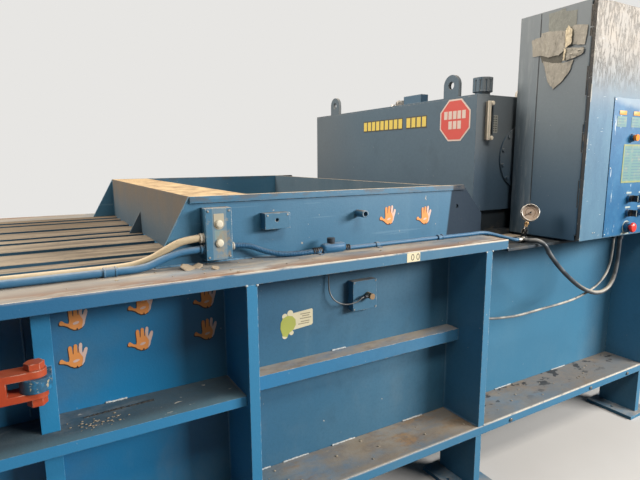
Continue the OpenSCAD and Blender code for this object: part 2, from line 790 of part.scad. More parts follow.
// Bolt and nut on which the turnbuckle swings
module latch_bolt() color(orange) {
    translate([-latch_x, latch_y, arm_low - 24]) cylinder(h = arm_high + fork_t - arm_low + 25, r = latch_bolt_r);
    hex(-latch_x, latch_y, arm_high + fork_t + rest_gap, 19, 26.5);
    hex(-latch_x, latch_y, arm_low - rest_gap - 24, 24, 26.5);
}

// Fork of the turnbuckle: two arms, a yoke and a swivel stem with its collar
module latch_fork() color(orange) {
    for (z = [arm_low, arm_high]) difference() {
        translate([0, 0, z]) linear_extrude(fork_t) {
            translate([-latch_x, latch_y]) circle(fork_half);
            translate([yoke_x, latch_y - fork_half]) square([-latch_x - yoke_x, 2 * fork_half]);
        }
        translate([-latch_x, latch_y, z - 1]) cylinder(h = fork_t + 2, r = latch_bolt_r + run_gap);
    }
    block([yoke_x - yoke_t, latch_y - fork_half, arm_low], [yoke_x, latch_y + fork_half, arm_high + fork_t]);
    rod_x(sleeve_x - sleeve_wall - 1 - collar_t, yoke_x - yoke_t + eps, latch_y, latch_z, latch_rod_r);
    rod_x(sleeve_x - sleeve_wall - 1 - collar_t, sleeve_x - sleeve_wall - 1, latch_y, latch_z, collar_r);
}

// Sleeve of the turnbuckle, with its window and tommy holes
module latch_sleeve() color(orange) difference() {
    rod_x(sleeve_end, sleeve_x, latch_y, latch_z, sleeve_r);
    rod_x(sleeve_end - 1, sleeve_x + 1, latch_y, latch_z, latch_rod_r + run_gap);
    rod_x(sleeve_end + sleeve_wall, sleeve_x - sleeve_wall, latch_y, latch_z, cavity_r);
    block([sleeve_end + sleeve_wall + 20, latch_y - sleeve_r - 1, latch_z - 12],
        [sleeve_x - sleeve_wall - 20, latch_y + sleeve_r + 1, latch_z + 12]);
}

// Threaded rod with the nut that holds the T-head
module latch_rod() color(steel) {
    rod_x(head_x - head_t - rest_gap - nut_t, rod_in, latch_y, latch_z, latch_rod_r);
    translate([head_x - head_t - rest_gap - nut_t, latch_y, latch_z]) rotate([0, 90, 0])
        cylinder(h = nut_t, r = 19, $fn = 6);
}

// T-head, stored flat so that it passes the keeper's slot, and turned upright to lock
module latch_head() color(orange) difference() {
    block([head_x - head_t, latch_y - head_l / 2, latch_z - head_t / 2],
        [head_x, latch_y + head_l / 2, latch_z + head_t / 2]);
    rod_x(head_x - head_t - 1, head_x + 1, latch_y, latch_z, latch_rod_r + run_gap);
}

// Bearers under the tank, each a channel on a wide foot
module tank_base() color(paint) both_sides() {
    block([tank_x, -tank_half - 27, rear_deck_z], [tank_end, -tank_half + 108, rear_deck_z + bearer_foot_t]);
    block([tank_x, -tank_half + 20, rear_deck_z + bearer_foot_t],
        [tank_end, -tank_half + 20 + tube_t, tank_z - tube_t]);
    block([tank_x, -tank_half + 20, tank_z - tube_t], [tank_end, -tank_half + 108, tank_z]);
}

// Tank, open at the top, with the clean-out hole in its near side
module tank() color(paint) difference() {
    block([tank_x, -tank_half, tank_z], [tank_end, tank_half, tank_top]);
    block([tank_x + tank_t, -tank_half + tank_t, tank_z + tank_t],
        [tank_end - tank_t, tank_half - tank_t, tank_top + 1]);
    rod_y(-tank_half - 1, -tank_half + tank_t + 1, cover_x, cover_z, cover_hole_r);
}

// Lid with two lifting lugs and the filler neck
module tank_lid() color(paint) {
    difference() {
        union() {
            block([tank_x, -tank_half, tank_top], [tank_end, tank_half, lid_z]);
            translate([filler_x, filler_y, tank_top]) cylinder(h = lid_t + neck_h, r = neck_r);
        }
        translate([filler_x, filler_y, tank_top - 1]) cylinder(h = lid_t + neck_h + 2, r = neck_bore);
    }
    for (y = lug_ys) difference() {
        crosswise(tank_x, lift_t) {
            translate([y, lid_z + lug_rise]) circle(lift_r);
            translate([y - lift_r, lid_z]) square([2 * lift_r, lug_rise]);
        }
        rod_x(tank_x - 1, tank_x + lift_t + 1, y, lid_z + lug_rise, lift_hole_r);
    }
}

// Clean-out cover with its ring of bolts
module cleanout_cover() color(paint) {
    rod_y(-tank_half - 10, -tank_half, cover_x, cover_z, cover_r);
    for (a = [15 : 30 : 345])
        translate([cover_x, -tank_half - 10, cover_z]) rotate([0, a, 0]) translate([0, 0, cover_r - 13])
            rotate([90, 0, 0]) cylinder(h = 8, r = 9, $fn = 6);
}

// Small things on the tank: level gauge, valve block, elbow and breather dome
module tank_fittings() {
    color(pale) difference() {
        block([tank_x + 63, -tank_half - 26, tank_z + 370], [tank_x + 98, -tank_half, tank_z + 560]);
        block([tank_x + 72, -tank_half - 27, tank_z + 395], [tank_x + 89, -tank_half - 14, tank_z + 535]);
    }
    color(paint) block([tank_x + 6, -381, lid_z], [tank_x + 60, -229, lid_z + 46]);
    color(steel) {
        translate([tank_x + 30, -172, lid_z]) cylinder(h = 28, r = 11);
        rod_x(tank_x + 4, tank_x + 30, -172, lid_z + 20, 8);
        translate([tank_x + 415, -740, lid_z]) cylinder(h = 26, r = 30);
        translate([tank_x + 415, -740, lid_z + 26]) difference() {
            sphere(30);
            translate([-31, -31, -62]) cube(62);
        }
    }
}

// Filler and breather cap with a spigot in the neck
module filler_cap() color(paint) {
    translate([filler_x, filler_y, lid_z + neck_h + rest_gap]) {
        difference() {
            cylinder(h = cap_h, r = cap_r);
            for (a = [0 : 30 : 330])
                rotate([0, 0, a]) translate([cap_r + 2, 0, -1]) cylinder(h = cap_h - 12, r = 6);
        }
        translate([0, 0, -15]) cylinder(h = 15 + eps, r = neck_bore - run_gap);
    }
}

// Motor body with fins, feet, fan cowl and a bore for the shaft
module motor() color(paint_dark) {
    back = motor_y - motor_l;
    difference() {
        union() {
            rod_y(back, motor_y, motor_x, motor_z, motor_r - 14);
            for (a = [0 : 18 : 342])
                translate([motor_x, motor_y - 20, motor_z]) rotate([0, a, 0]) rotate([90, 0, 0])
                    translate([0, -2.5, 0]) cube([motor_r, 5, motor_l - 40]);
            rod_y(back - cowl_l, back, motor_x, motor_z, motor_r - 4);
            for (y = [back + 60, motor_y - 100])
                block([motor_x - motor_r, y, rear_deck_z], [motor_x + motor_r, y + 40, motor_z - 60]);
        }
        rod_y(back - 5, motor_y + 1, motor_x, motor_z, shaft_r + run_gap);
        rod_y(back - cowl_l + 4, back - 4, motor_x, motor_z, motor_r - 10);
        for (a = [0 : 60 : 300])
            translate([motor_x, back - cowl_l, motor_z]) rotate([0, a, 0]) translate([0, 0, motor_r / 2])
                rotate([-90, 0, 0]) translate([0, 0, -1]) cylinder(h = 8, r = 18);
    }
}

// Shaft with the cooling fan and the coupling
module motor_rotor() color(steel) {
    back = motor_y - motor_l;
    rod_y(back - cowl_l + 20, motor_y + bell_l + 20, motor_x, motor_z, shaft_r);
    rod_y(back - 60, back - 20, motor_x, motor_z, 34);
    for (a = [0 : 45 : 315])
        translate([motor_x, back - 20, motor_z]) rotate([0, a, 0]) rotate([90, 0, 0])
            translate([30, -2, 0]) cube([motor_r - 50, 4, 40]);
    rod_y(motor_y + 30, motor_y + 90, motor_x, motor_z, 42);
}

// Bell housing and pump
module pump() color(paint_dark) difference() {
    union() {
        rod_y(motor_y, motor_y + bell_l, motor_x, motor_z, 105);
        rod_y(motor_y + bell_l, motor_y + bell_l + pump_l, motor_x, motor_z, pump_r);
        block([motor_x - 70, motor_y + bell_l + 30, motor_z - 45],
            [motor_x + 70, motor_y + bell_l + 110, motor_z + 45]);
    }
    rod_y(motor_y - 1, motor_y + bell_l - 14, motor_x, motor_z, 80);
    rod_y(motor_y + bell_l - 15, motor_y + bell_l + 40, motor_x, motor_z, shaft_r + run_gap);
    block([motor_x - 30, motor_y + 20, motor_z + 60], [motor_x + 30, motor_y + 100, motor_z + 110]);
}

// Every second knuckle of the cabinet's long hinge, from first, reaching to y1
module piano_knuckles(first, y1) difference() {
    for (i = [first : 2 : piano_n - 1]) {
        translate([cab_x, hinge_line_y, piano_z0 + i * piano_l + rest_gap])
            cylinder(h = piano_l - 2 * rest_gap, r = piano_r);
        block([cab_x, min(hinge_line_y, y1), piano_z0 + i * piano_l + rest_gap],
            [cab_x + piano_r, max(hinge_line_y, y1), piano_z0 + (i + 1) * piano_l - rest_gap]);
    }
    translate([cab_x, hinge_line_y, piano_z0 - 1]) cylinder(h = cab_h, r = piano_pin_r + run_gap);
}

// Cabinet shell on two rails, open at the front behind a flange, with entries in its bottom
module cabinet_shell() color(paint) {
    difference() {
        block([cab_x, shell_front, cab_z], [cab_end, cab_back, cab_top]);
        block([cab_x + cab_t, shell_front + cab_t, cab_z + cab_t],
            [cab_end - cab_t, cab_back - cab_t, cab_top - cab_t]);
        block([cab_x + flange_in, shell_front - 1, cab_z + flange_in],
            [cab_end - flange_in, shell_front + cab_t + 1, cab_top - flange_in]);
        block([cab_x - 1, cab_back - 121, cab_z + 150], [cab_x + cab_t / 2, cab_back - 116, cab_top + 1]);
        translate([hose_route[15][0], hose_route[15][1], cab_z - 1]) cylinder(h = cab_t + 2, r = hose_r);
        translate([cable_route[13][0], cable_route[13][1], cab_z - 1]) cylinder(h = cab_t + 2, r = cable_r);
        translate([cab_end - 120, cab_back - 100, cab_z - 1]) cylinder(h = cab_t + 2, r = 25);
    }
    for (x = [cab_x + 30, cab_end - 70])
        block([x, -half_w + 12, rear_deck_z], [x + 40, cab_back - 6, cab_z]);
    piano_knuckles(0, shell_front);
}

// Cabinet door: a tray with turned-in edges and its half of the hinge
module cabinet_door() color(paint) {
    difference() {
        block([cab_x, cab_front, cab_z], [cab_end, door_back, cab_top]);
        block([cab_x + 20, cab_front + 3, cab_z + 20], [cab_end - 20, door_back + 1, cab_top - 20]);
        rod_y(cab_front - 1, door_back + 1, handle_x, handle_z, handle_shaft_r + run_gap);
        for (c = controls)
            rod_y(cab_front - 1, door_back + 1, c[0], c[1], stem_r + 1);
    }
    piano_knuckles(1, door_back);
}

module cabinet_hinge_pin() color(steel)
    translate([cab_x, hinge_line_y, piano_z0 - 4]) cylinder(h = cab_h - 52, r = piano_pin_r);

// Rubber seal behind the door's edge
module door_gasket() color(black) difference() {
    block([cab_x + 8, door_back, cab_z + 6], [cab_end - 6, shell_front - rest_gap, cab_top - 6]);
    block([cab_x + 18, door_back - 1, cab_z + 16], [cab_end - 16, shell_front + 1, cab_top - 16]);
}

// Turn handle: a knob with a wing outside and a cam inside
module cabinet_handle() color(black) {
    rod_y(cab_front - 14, shell_front + cab_t + 12, handle_x, handle_z, handle_shaft_r);
    rod_y(cab_front - 14, cab_front - rest_gap, handle_x, handle_z, 26);
    block([handle_x - 7, cab_front - 34, handle_z - 30], [handle_x + 7, cab_front - 14 + eps, handle_z + 30]);
    block([handle_x - 10, shell_front + cab_t + 3, handle_z - 10],
        [handle_x + 10, shell_front + cab_t + 9, handle_z + 46]);
}

// Raised plate on the door with the bezels of its controls and two pilot lights
module control_plate() {
    color(paint) difference() {
        block([plate_x0, plate_front, plate_z0], [plate_x0 + plate_w, cab_front, plate_z0 + plate_h]);
        for (c = controls)
            rod_y(plate_front - 1, cab_front + 1, c[0], c[1], stem_r + 1);
    }
    color(black) {
        for (c = controls) difference() {
            if (c[1] == stop_z) rod_y(plate_front - stop_bezel_t, plate_front, c[0], c[1], stop_bezel_r);
            else rod_y(plate_front - bezel_t, plate_front, c[0], c[1], bezel_r);
            rod_y(plate_front - stop_bezel_t - 1, plate_front + 1, c[0], c[1], stem_r + run_gap);
        }
        for (z = [amber_z, selector_z, selector_z - selector_step])
            rod_y(plate_front - bezel_t - 9, plate_front, column_right, z, bezel_r);
    }
}

// Panel inside the cabinet with its switchgear
module cabinet_panel() {
    panel_y = cab_back - 30;
    color(pale) block([cab_x + 40, panel_y, cab_z + 60], [cab_end - 40, panel_y + 3, cab_top - 60]);
    color(steel) for (x = [cab_x + 60, cab_end - 60], z = [cab_z + 90, cab_top - 90])
        rod_y(panel_y + 3, cab_back - cab_t, x, z, 8);
    color(black) {
        for (i = [0 : 4]) block([cab_x + 90 + i * 100, panel_y - 90, cab_z + 620],
            [cab_x + 165 + i * 100, panel_y, cab_z + 720]);
        block([cab_x + 90, panel_y - 70, cab_z + 820], [cab_x + 330, panel_y, cab_z + 960]);
        block([cab_x + 80, panel_y - 50, cab_z + 300], [cab_end - 80, panel_y, cab_z + 350]);
    }
}

// A control's stem through its bezel
module stem(x, z, out) rod_y(plate_front - out, door_back - 6, x, z, stem_r);

module amber_button() color([0.95, 0.5, 0.15]) {
    stem(amber_x, amber_z, bezel_t + 12);
    rod_y(plate_front - bezel_t - 18, plate_front - bezel_t - 6, amber_x, amber_z, stem_r + 5);
}

module selector(z) {
    stem(column_x, z, bezel_t + 2);
    rod_y(plate_front - bezel_t - 12, plate_front - bezel_t - rest_gap, column_x, z, bezel_r - 3);
    block([column_x - 4, plate_front - bezel_t - 34, z - 16],
        [column_x + 4, plate_front - bezel_t - 12 + eps, z + 16]);
}

module selector_upper() color(black) selector(selector_z);

module selector_lower() color(black) selector(selector_z - selector_step);

// Mushroom stop button
module stop_button() color([0.85, 0.12, 0.12]) {
    stem(column_x, stop_z, stop_bezel_t + 12);
    translate([column_x, plate_front - stop_bezel_t - 8, stop_z]) rotate([90, 0, 0]) rotate_extrude()
        polygon([[0, 0], [16, 0], [25, 5], [25, 11], [22, 16], [14, 19], [0, 20]]);
}

// Two-hole station box with its cover and plugs, the two sensor boxes and the pipe stub
module wall_boxes() {
    color(paint) {
        difference() {
            block([station_x - station_w / 2, -wall_y - station_d + 4, station_z],
                [station_x + station_w / 2, -wall_y, station_z + station_h]);
            block([station_x - station_w / 2 + 3, -wall_y - station_d + 3, station_z + 3],
                [station_x + station_w / 2 - 3, -wall_y - 3, station_z + station_h - 3]);
        }
        block([station_x - station_w / 2, -wall_y - station_d, station_z],
            [station_x + station_w / 2, -wall_y - station_d + 4, station_z + station_h]);
        difference() {
            block([-435, -wall_y - 44, rim_z - 132], [-332, -wall_y, rim_z - 72]);
            rod_y(-wall_y - 45, -wall_y - 20, -386, rim_z - 98, 7);
        }
        block([-36, -wall_y - 38, shelf_z + 170], [87, -wall_y, shelf_z + 299]);
        difference() {
            rod_y(-wall_y - 60, -wall_y, 9, rim_z - 99, 15);
            rod_y(-wall_y - 61, -wall_y - 5, 9, rim_z - 99, 10);
        }
    }
    color(pale) for (z = [station_z + 60, station_z + 128])
        rod_y(-wall_y - station_d - 6, -wall_y - station_d, station_x, z, 14);
}

// Block, leaning stem and case of the pressure gauge
module pressure_gauge() {
    color(steel) block([gauge_foot[0] - 15, gauge_foot[1] - 15, rear_deck_z],
        [gauge_foot[0] + 15, gauge_foot[1] + 15, rear_deck_z + block_h]);
    translate([gauge_foot[0], gauge_foot[1], rear_deck_z + block_h]) rotate([0, gauge_lean, 0]) {
        color(steel) {
            translate([0, 0, -4]) cylinder(h = 50, r = 9);
            translate([0, 0, 12]) cylinder(h = 22, r = 14, $fn = 6);
        }
        color([0.7, 0.55, 0.25]) translate([0, 0, 44]) cylinder(h = 36, r = 7);
        color(pale) translate([0, 0, gauge_rise]) rotate([0, 0, -gauge_turn]) difference() {
            rod_y(-case_d, 0, 0, 0, gauge_r);
            rod_y(-case_d - 1, -case_d + 10, 0, 0, gauge_r - 4);
        }
    }
}

// Needle of the gauge, resting at its low stop
module gauge_needle() color(black)
    translate([gauge_foot[0], gauge_foot[1], rear_deck_z + block_h]) rotate([0, gauge_lean, 0])
        translate([0, 0, gauge_rise]) rotate([0, 0, -gauge_turn]) {
            rod_y(-case_d + 3, -case_d + 10 - rest_gap, 0, 0, 4);
            rotate([0, -135, 0]) block([-1.5, -case_d + 4, -8], [1.5, -case_d + 5.5, gauge_r - 12]);
        }

// The two conduits to the left along the ledge and the small one to the right
module conduit_runs() {
    color(dust) sweep(tan_route, conduit_r, 12, 3, [0, 1, 0]);
    color(paint) {
        sweep(blue_route, conduit_r, 12, 3, [0, 1, 0]);
        sweep(right_route, small_conduit_r, 10, 3, [0, 1, 0]);
    }
}

// A round collar on a conduit along X, with two raised rings, flat where it lies on the deck
module collar_x(x0, x1, y, z, r) difference() {
    union() {
        rod_x(x0, x1, y, z, r + 3);
        rod_x(x0, x0 + 5, y, z, r + 5);
        rod_x(x1 - 5, x1, y, z, r + 5);
    }
    rod_x(x0 - 1, x1 + 1, y, z, r + tube_gap);
    block([x0 - 1, y - 2 * r, deck_z - 30], [x1 + 1, y + 2 * r, deck_z]);
}

// A cord gland along Z, with the cord's end held 6 mm deep in its lower end
module gland_z(p, z1, r) translate([p[0], p[1], p[2] - 6]) difference() {
    cylinder(h = z1 - p[2] + 6, r = r + 5);
    translate([0, 0, -1]) cylinder(h = 7.5, r = r + tube_gap);
}

// Connectors, couplings, straps and the conduit body, and the glands of the cords
module conduit_fittings() {
    color(steel) {
        collar_x(-680, station_x - station_w / 2, tan_route[0][1], tan_route[0][2], conduit_r);
        collar_x(station_x + station_w / 2, -555, right_route[0][1], right_route[0][2], small_conduit_r);
    }
    color(paint) {
        collar_x(-680, station_x - station_w / 2, blue_route[0][1], blue_route[0][2], conduit_r);
        collar_x(-1000, -960, -958, 1243.5, conduit_r);
        collar_x(-1500, -1460, -958, 1243.5, conduit_r);
        collar_x(-1500, -1460, -900, 1243.5, conduit_r);
        collar_x(410, 440, -975, 1239.5, small_conduit_r);
        for (x = [60, -225]) difference() {
            union() {
                rod_x(x, x + 16, -975, 1239.5, small_conduit_r + 3);
                block([x, -1003, deck_z], [x + 16, -947, deck_z + 3]);
            }
            rod_x(x - 1, x + 17, -975, 1239.5, small_conduit_r + tube_gap);
            block([x - 1, -1000, deck_z - 20], [x + 17, -950, deck_z]);
        }
        difference() {
            union() {
                rod_x(-200, -110, -975, 1239.5, small_conduit_r + 8);
                translate([-160, -975, 1239.5]) cylinder(h = 46, r = 13);
                translate([-160, -975, 1272]) cylinder(h = 16, r = 16);
            }
            rod_x(-201, -109, -975, 1239.5, small_conduit_r + tube_gap);
            block([-210, -1000, deck_z - 20], [-100, -950, deck_z]);
        }
    }
    color(black) {
        gland_z(hose_route[15], cab_z, hose_r);
        gland_z(cable_route[13], cab_z, cable_r);
        gland_z(lead_route[12], ledge_under, lead_r);
        difference() {
            rod_x(post_x + post_w / 2, 608, cable_route[0][1], cable_route[0][2], cable_r + 6);
            rod_x(595, 609, cable_route[0][1], cable_route[0][2], cable_r + tube_gap);
        }
        difference() {
            rod_x(8, 25, lead_route[0][1], lead_route[0][2], 8);
            rod_x(7, 17, lead_route[0][1], lead_route[0][2], lead_r + tube_gap);
        }
    }
    color([0.7, 0.5, 0.3]) rod_y(-990, -wall_y - 38, 38, 1020, 13);
}

module pressure_hose() color(black) sweep(hose_route, hose_r, 10, 3, [1, 0.2, 0.3]);

module control_cable() color(steel) sweep(cable_route, cable_r, 8, 4, [0, 1, 0]);

module sensor_lead() color(black) sweep(lead_route, lead_r, 8, 4, [0, 1, 0]);

floor_frame();
side_walls();
side_rails();
side_ledges();
side_posts();
latch_post();
side_shelves();
legs();
top_plate();
deck_slats();
door_header();
shear_beam();
shear_blade();
hopper_sides();
hopper_end_walls();
rear_plate();
guide_strips();
ram_body();
ram_knife();
piston_rod();
cylinder_barrel();
cylinder_gland();
cylinder_pin();
bale_door();
door_frame();
latch_keeper();
hinge_brackets();
latch_bolt();
latch_fork();
latch_sleeve();
latch_rod();
latch_head();
tank_base();
tank();
tank_lid();
cleanout_cover();
tank_fittings();
filler_cap();
motor();
motor_rotor();
pump();
cabinet_shell();
cabinet_door();
cabinet_hinge_pin();
door_gasket();
cabinet_handle();
control_plate();
cabinet_panel();
amber_button();
selector_upper();
selector_lower();
stop_button();
wall_boxes();
pressure_gauge();
gauge_needle();
conduit_runs();
conduit_fittings();
pressure_hose();
control_cable();
sensor_lead();
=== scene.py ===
"""Looks of the horizontal baler: its worn paint, dust, welds, signs, tape and cords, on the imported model."""
import math
import random

import bmesh
import bpy
from mathutils import Matrix, Vector


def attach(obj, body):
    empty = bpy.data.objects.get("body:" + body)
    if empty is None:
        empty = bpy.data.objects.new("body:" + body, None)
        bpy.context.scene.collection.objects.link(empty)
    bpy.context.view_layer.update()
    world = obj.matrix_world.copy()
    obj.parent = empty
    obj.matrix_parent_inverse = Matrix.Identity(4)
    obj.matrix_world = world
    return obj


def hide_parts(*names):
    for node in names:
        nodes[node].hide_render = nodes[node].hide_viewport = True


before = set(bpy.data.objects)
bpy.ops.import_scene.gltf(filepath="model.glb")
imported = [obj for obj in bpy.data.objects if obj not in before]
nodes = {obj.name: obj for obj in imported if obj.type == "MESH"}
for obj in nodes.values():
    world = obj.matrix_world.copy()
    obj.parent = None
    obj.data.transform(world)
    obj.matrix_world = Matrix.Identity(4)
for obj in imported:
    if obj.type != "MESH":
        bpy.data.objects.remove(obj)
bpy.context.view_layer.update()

chance = random.Random(11)

# Places that the signs, welds and cords share, in metres
WALL = -0.914
LEDGE = -1.142
DECK = 1.230
REAR_DECK = 1.187
TANK = 0.810
CABINET = 1.072
DOOR = -1.240
PLATE = -1.243
RAIL_TOP = 0.345
LIP_EDGE = 1.1405
CONDUIT_Y = -0.975
SHELF_TOP = 0.788
STATION_X, STATION_FACE = -0.617, -0.970
LEFT_COLUMN, RIGHT_COLUMN = 1.462, 1.577
UPPER_ROW, LOWER_ROW = 1.390, 1.316
PLATE_FILM = PLATE - 0.0010

FRONT = (0, -1, 0)
CORD_STEPS = 8
FULL_FILM = 0.0010
THIN_FILM = 0.0004

# The fitted camera: its turn and tilt in degrees, its place in metres, its focal length in millimetres
CAMERA_TURN = (30.274, 9.364, 0.320)
CAMERA_PLACE = (-1.178, -2.6325, 1.6)
CAMERA_LENS = 27.82


def point_camera():
    yaw, pitch, roll = (math.radians(a) for a in CAMERA_TURN)
    ahead = Vector((math.sin(yaw) * math.cos(pitch), math.cos(yaw) * math.cos(pitch), -math.sin(pitch)))
    level = Vector((math.cos(yaw), -math.sin(yaw), 0))
    down = -level.cross(ahead)
    right = level * math.cos(roll) + down * math.sin(roll)
    below = down * math.cos(roll) - level * math.sin(roll)
    lens = bpy.data.cameras.new("camera")
    lens.sensor_width = 36
    lens.lens = CAMERA_LENS
    lens.clip_end = 60
    camera = bpy.data.objects.new("camera", lens)
    aim = Matrix((right, -below, -ahead)).transposed().to_4x4()
    camera.matrix_world = Matrix.Translation(CAMERA_PLACE) @ aim
    bpy.context.scene.collection.objects.link(camera)
    bpy.context.scene.camera = camera


def lamp(name, place, target, size, power, colour):
    """A wide, soft lamp; size is its width and height."""
    light = bpy.data.lights.new(name, "AREA")
    light.shape = "RECTANGLE"
    light.size, light.size_y = size
    light.energy = power
    light.color = colour
    lamp_object = bpy.data.objects.new(name, light)
    lamp_object.location = place
    lamp_object.rotation_euler = (Vector(target) - Vector(place)).to_track_quat("-Z", "Y").to_euler()
    bpy.context.scene.collection.objects.link(lamp_object)


class Wire:
    """A socket of a finish that is used in plain arithmetic."""

    def __init__(self, finish, socket):
        self.finish = finish
        self.socket = socket

    def also(self, output):
        return Wire(self.finish, self.socket.node.outputs[output])

    def sum_up(self, operation, a, b):
        return self.finish.node("ShaderNodeMath", {"operation": operation}, {0: a, 1: b})

    def __add__(self, other):
        return self.sum_up("ADD", self, other)

    __radd__ = __add__

    def __sub__(self, other):
        return self.sum_up("SUBTRACT", self, other)

    def __rsub__(self, other):
        return self.sum_up("SUBTRACT", other, self)

    def __mul__(self, other):
        return self.sum_up("MULTIPLY", self, other)

    __rmul__ = __mul__

    def __truediv__(self, other):
        return self.sum_up("DIVIDE", self, other)

    def at_most(self, other):
        return self.sum_up("MINIMUM", self, other)

    def at_least(self, other):
        return self.sum_up("MAXIMUM", self, other)

    def far_from(self, middle):
        return self.finish.node("ShaderNodeMath", {"operation": "ABSOLUTE"}, {0: self - middle})

    def rise(self, low, high):
        """0 below low, 1 above high; the other way round where high is the smaller."""
        return self.finish.node("ShaderNodeMapRange", {"interpolation_type": "SMOOTHSTEP"},
                                {"Value": self, "From Min": low, "From Max": high})

    def within(self, low, high, soft):
        return self.rise(low - soft, low) * self.rise(high + soft, high)


class Finish:
    """A material whose looks are built from wires."""

    def __init__(self, name, **plain):
        self.material = bpy.data.materials.new(name)
        self.material.use_nodes = True
        self.tree = self.material.node_tree
        self.shader = next(n for n in self.tree.nodes if n.type == "BSDF_PRINCIPLED")
        self.place = self.node("ShaderNodeTexCoord", output="Object")
        split = self.node("ShaderNodeSeparateXYZ", inputs={0: self.place})
        self.x, self.y, self.z = split, split.also(1), split.also(2)
        for socket, value in plain.items():
            self.set(socket, value)

    @property
    def out(self):
        """How far the point lies from the machine's middle plane."""
        return self.y.far_from(0.0)

    def node(self, kind, settings=None, inputs=None, output=0):
        made = self.tree.nodes.new(kind)
        for key, value in (settings or {}).items():
            if key == "stops":
                ramp = made.color_ramp
                while len(ramp.elements) < len(value):
                    ramp.elements.new(0.5)
                for element, (place, colour) in zip(ramp.elements, value):
                    element.position = place
                    element.color = (*colour, 1)
            else:
                setattr(made, key, value)
        for key, value in (inputs or {}).items():
            self.feed(made.inputs[key], value)
        return Wire(self, made.outputs[output])

    def feed(self, socket, value):
        if isinstance(value, Wire):
            self.tree.links.new(value.socket, socket)
        elif socket.type == "RGBA" and len(value) == 3:
            socket.default_value = (*value, 1)
        else:
            socket.default_value = value

    def set(self, socket, value):
        self.feed(self.shader.inputs[socket.replace("_", " ")], value)

    def noise(self, scale, detail=3, rough=0.55, stretch=(1, 1, 1), shift=0.0):
        spot = self.node("ShaderNodeMapping", {}, {"Vector": self.place, "Scale": stretch,
                                                   "Location": (shift, shift * 0.7, shift * 0.3)})
        return self.node("ShaderNodeTexNoise", {}, {"Vector": spot, "Scale": scale, "Detail": detail,
                                                    "Roughness": rough})

    def mix(self, under, over, amount):
        return self.node("ShaderNodeMix", {"data_type": "RGBA"}, {0: amount, 6: under, 7: over}, output=2)

    def over(self, colour, amount):
        """Lays a colour over the tone so far."""
        self.tone = self.mix(self.tone, colour, amount)

    def top(self):
        """1 where the surface looks up."""
        return self.facing()[2].rise(0.5, 0.8)

    def facing(self):
        """How far the surface faces along X, Y and Z on the piece itself."""
        split = self.node("ShaderNodeSeparateXYZ",
                          inputs={0: self.node("ShaderNodeTexCoord", output="Normal")})
        return split, split.also(1), split.also(2)

    def rounded(self, radius):
        """The normal over a rounded edge, and how near the edge the surface is."""
        soft = self.node("ShaderNodeBevel", {"samples": 4}, {"Radius": radius})
        plain = self.node("ShaderNodeNewGeometry", output="Normal")
        along = self.node("ShaderNodeVectorMath", {"operation": "DOT_PRODUCT"}, {0: soft, 1: plain},
                          output="Value")
        return soft, along.rise(0.995, 0.90)

    def bump(self, height, distance, strength=1.0, normal=None):
        inputs = {"Height": height, "Distance": distance, "Strength": strength}
        if normal is not None:
            inputs["Normal"] = normal
        self.set("Normal", self.node("ShaderNodeBump", {}, inputs))


BLUE = (0.042, 0.150, 0.255)
PALE_BLUE = (0.105, 0.225, 0.320)
DEEP_BLUE = (0.026, 0.090, 0.160)
DUST = (0.420, 0.345, 0.255)
BROWN = (0.170, 0.115, 0.075)
RUST = (0.250, 0.095, 0.035)
PALE = (0.620, 0.580, 0.500)


def worn_paint(name, colour=BLUE, faded=PALE_BLUE, dust=0.7, rust=0.15, edge=0.5, haze=0.3, rough=0.42,
               dust_colour=DUST, grain=(1, 1, 1), extra=None):
    """Paint that is clouded and specked, with dust on its top faces and pale, chipped edges."""
    f = Finish(name)
    broad = f.noise(1.7, 4, 0.6, shift=3.1)
    cloud = f.noise(7.0, 4, 0.6, grain)
    fine = f.noise(70.0, 3, 0.6)
    runs = f.noise(9.0, 3, 0.6, (1, 1, 0.12), shift=5.0)
    f.tone = f.mix(colour, faded, broad.rise(0.42, 0.72) * haze)
    f.over(faded, runs.rise(0.55, 0.75) * haze * 0.6)
    f.over(tuple(c * 0.55 for c in colour), cloud.rise(0.55, 0.8) * 0.35)
    f.over(tuple(c * 0.8 for c in colour), fine.rise(0.45, 0.65) * 0.25)
    specks = f.noise(60.0, 1, 0.5, shift=9.0).rise(0.79, 0.82)
    f.over(PALE, specks * 0.55)
    up = f.facing()[2].rise(0.55, 0.85)
    film = up * (f.noise(5.0, 5, 0.65, grain, shift=1.0).rise(0.30, 0.62) * 0.75 + 0.25).at_most(1.0) * dust
    dirt = f.mix(dust_colour, BROWN, f.noise(14.0, 5, 0.7, grain, shift=7.0).rise(0.45, 0.72) * 0.8)
    dirt = f.mix(dirt, RUST, f.noise(3.2, 6, 0.7, grain, shift=2.0).rise(0.56, 0.70) * rust)
    f.over(dirt, film)
    soft, near_edge = f.rounded(0.0035)
    chipped = near_edge * f.noise(38.0, 3, 0.6, shift=4.0).rise(0.42, 0.62) * edge
    worn = f.mix(PALE, RUST, f.noise(24.0, 2, 0.6, shift=8.0).rise(0.52, 0.66) * 0.8)
    f.over(worn, chipped)
    f.rough = (film * 0.45 + rough + fine * 0.12 + chipped * 0.15).at_most(0.95)
    f.height = f.noise(160.0, 2, 0.5) * 0.5 + film * fine * 1.5 - chipped * 0.6 + cloud * 0.6
    if extra:
        extra(f)
    f.set("Base Color", f.tone)
    f.set("Roughness", f.rough)
    f.bump(f.height, 0.0012, 0.6, soft)
    return f.material


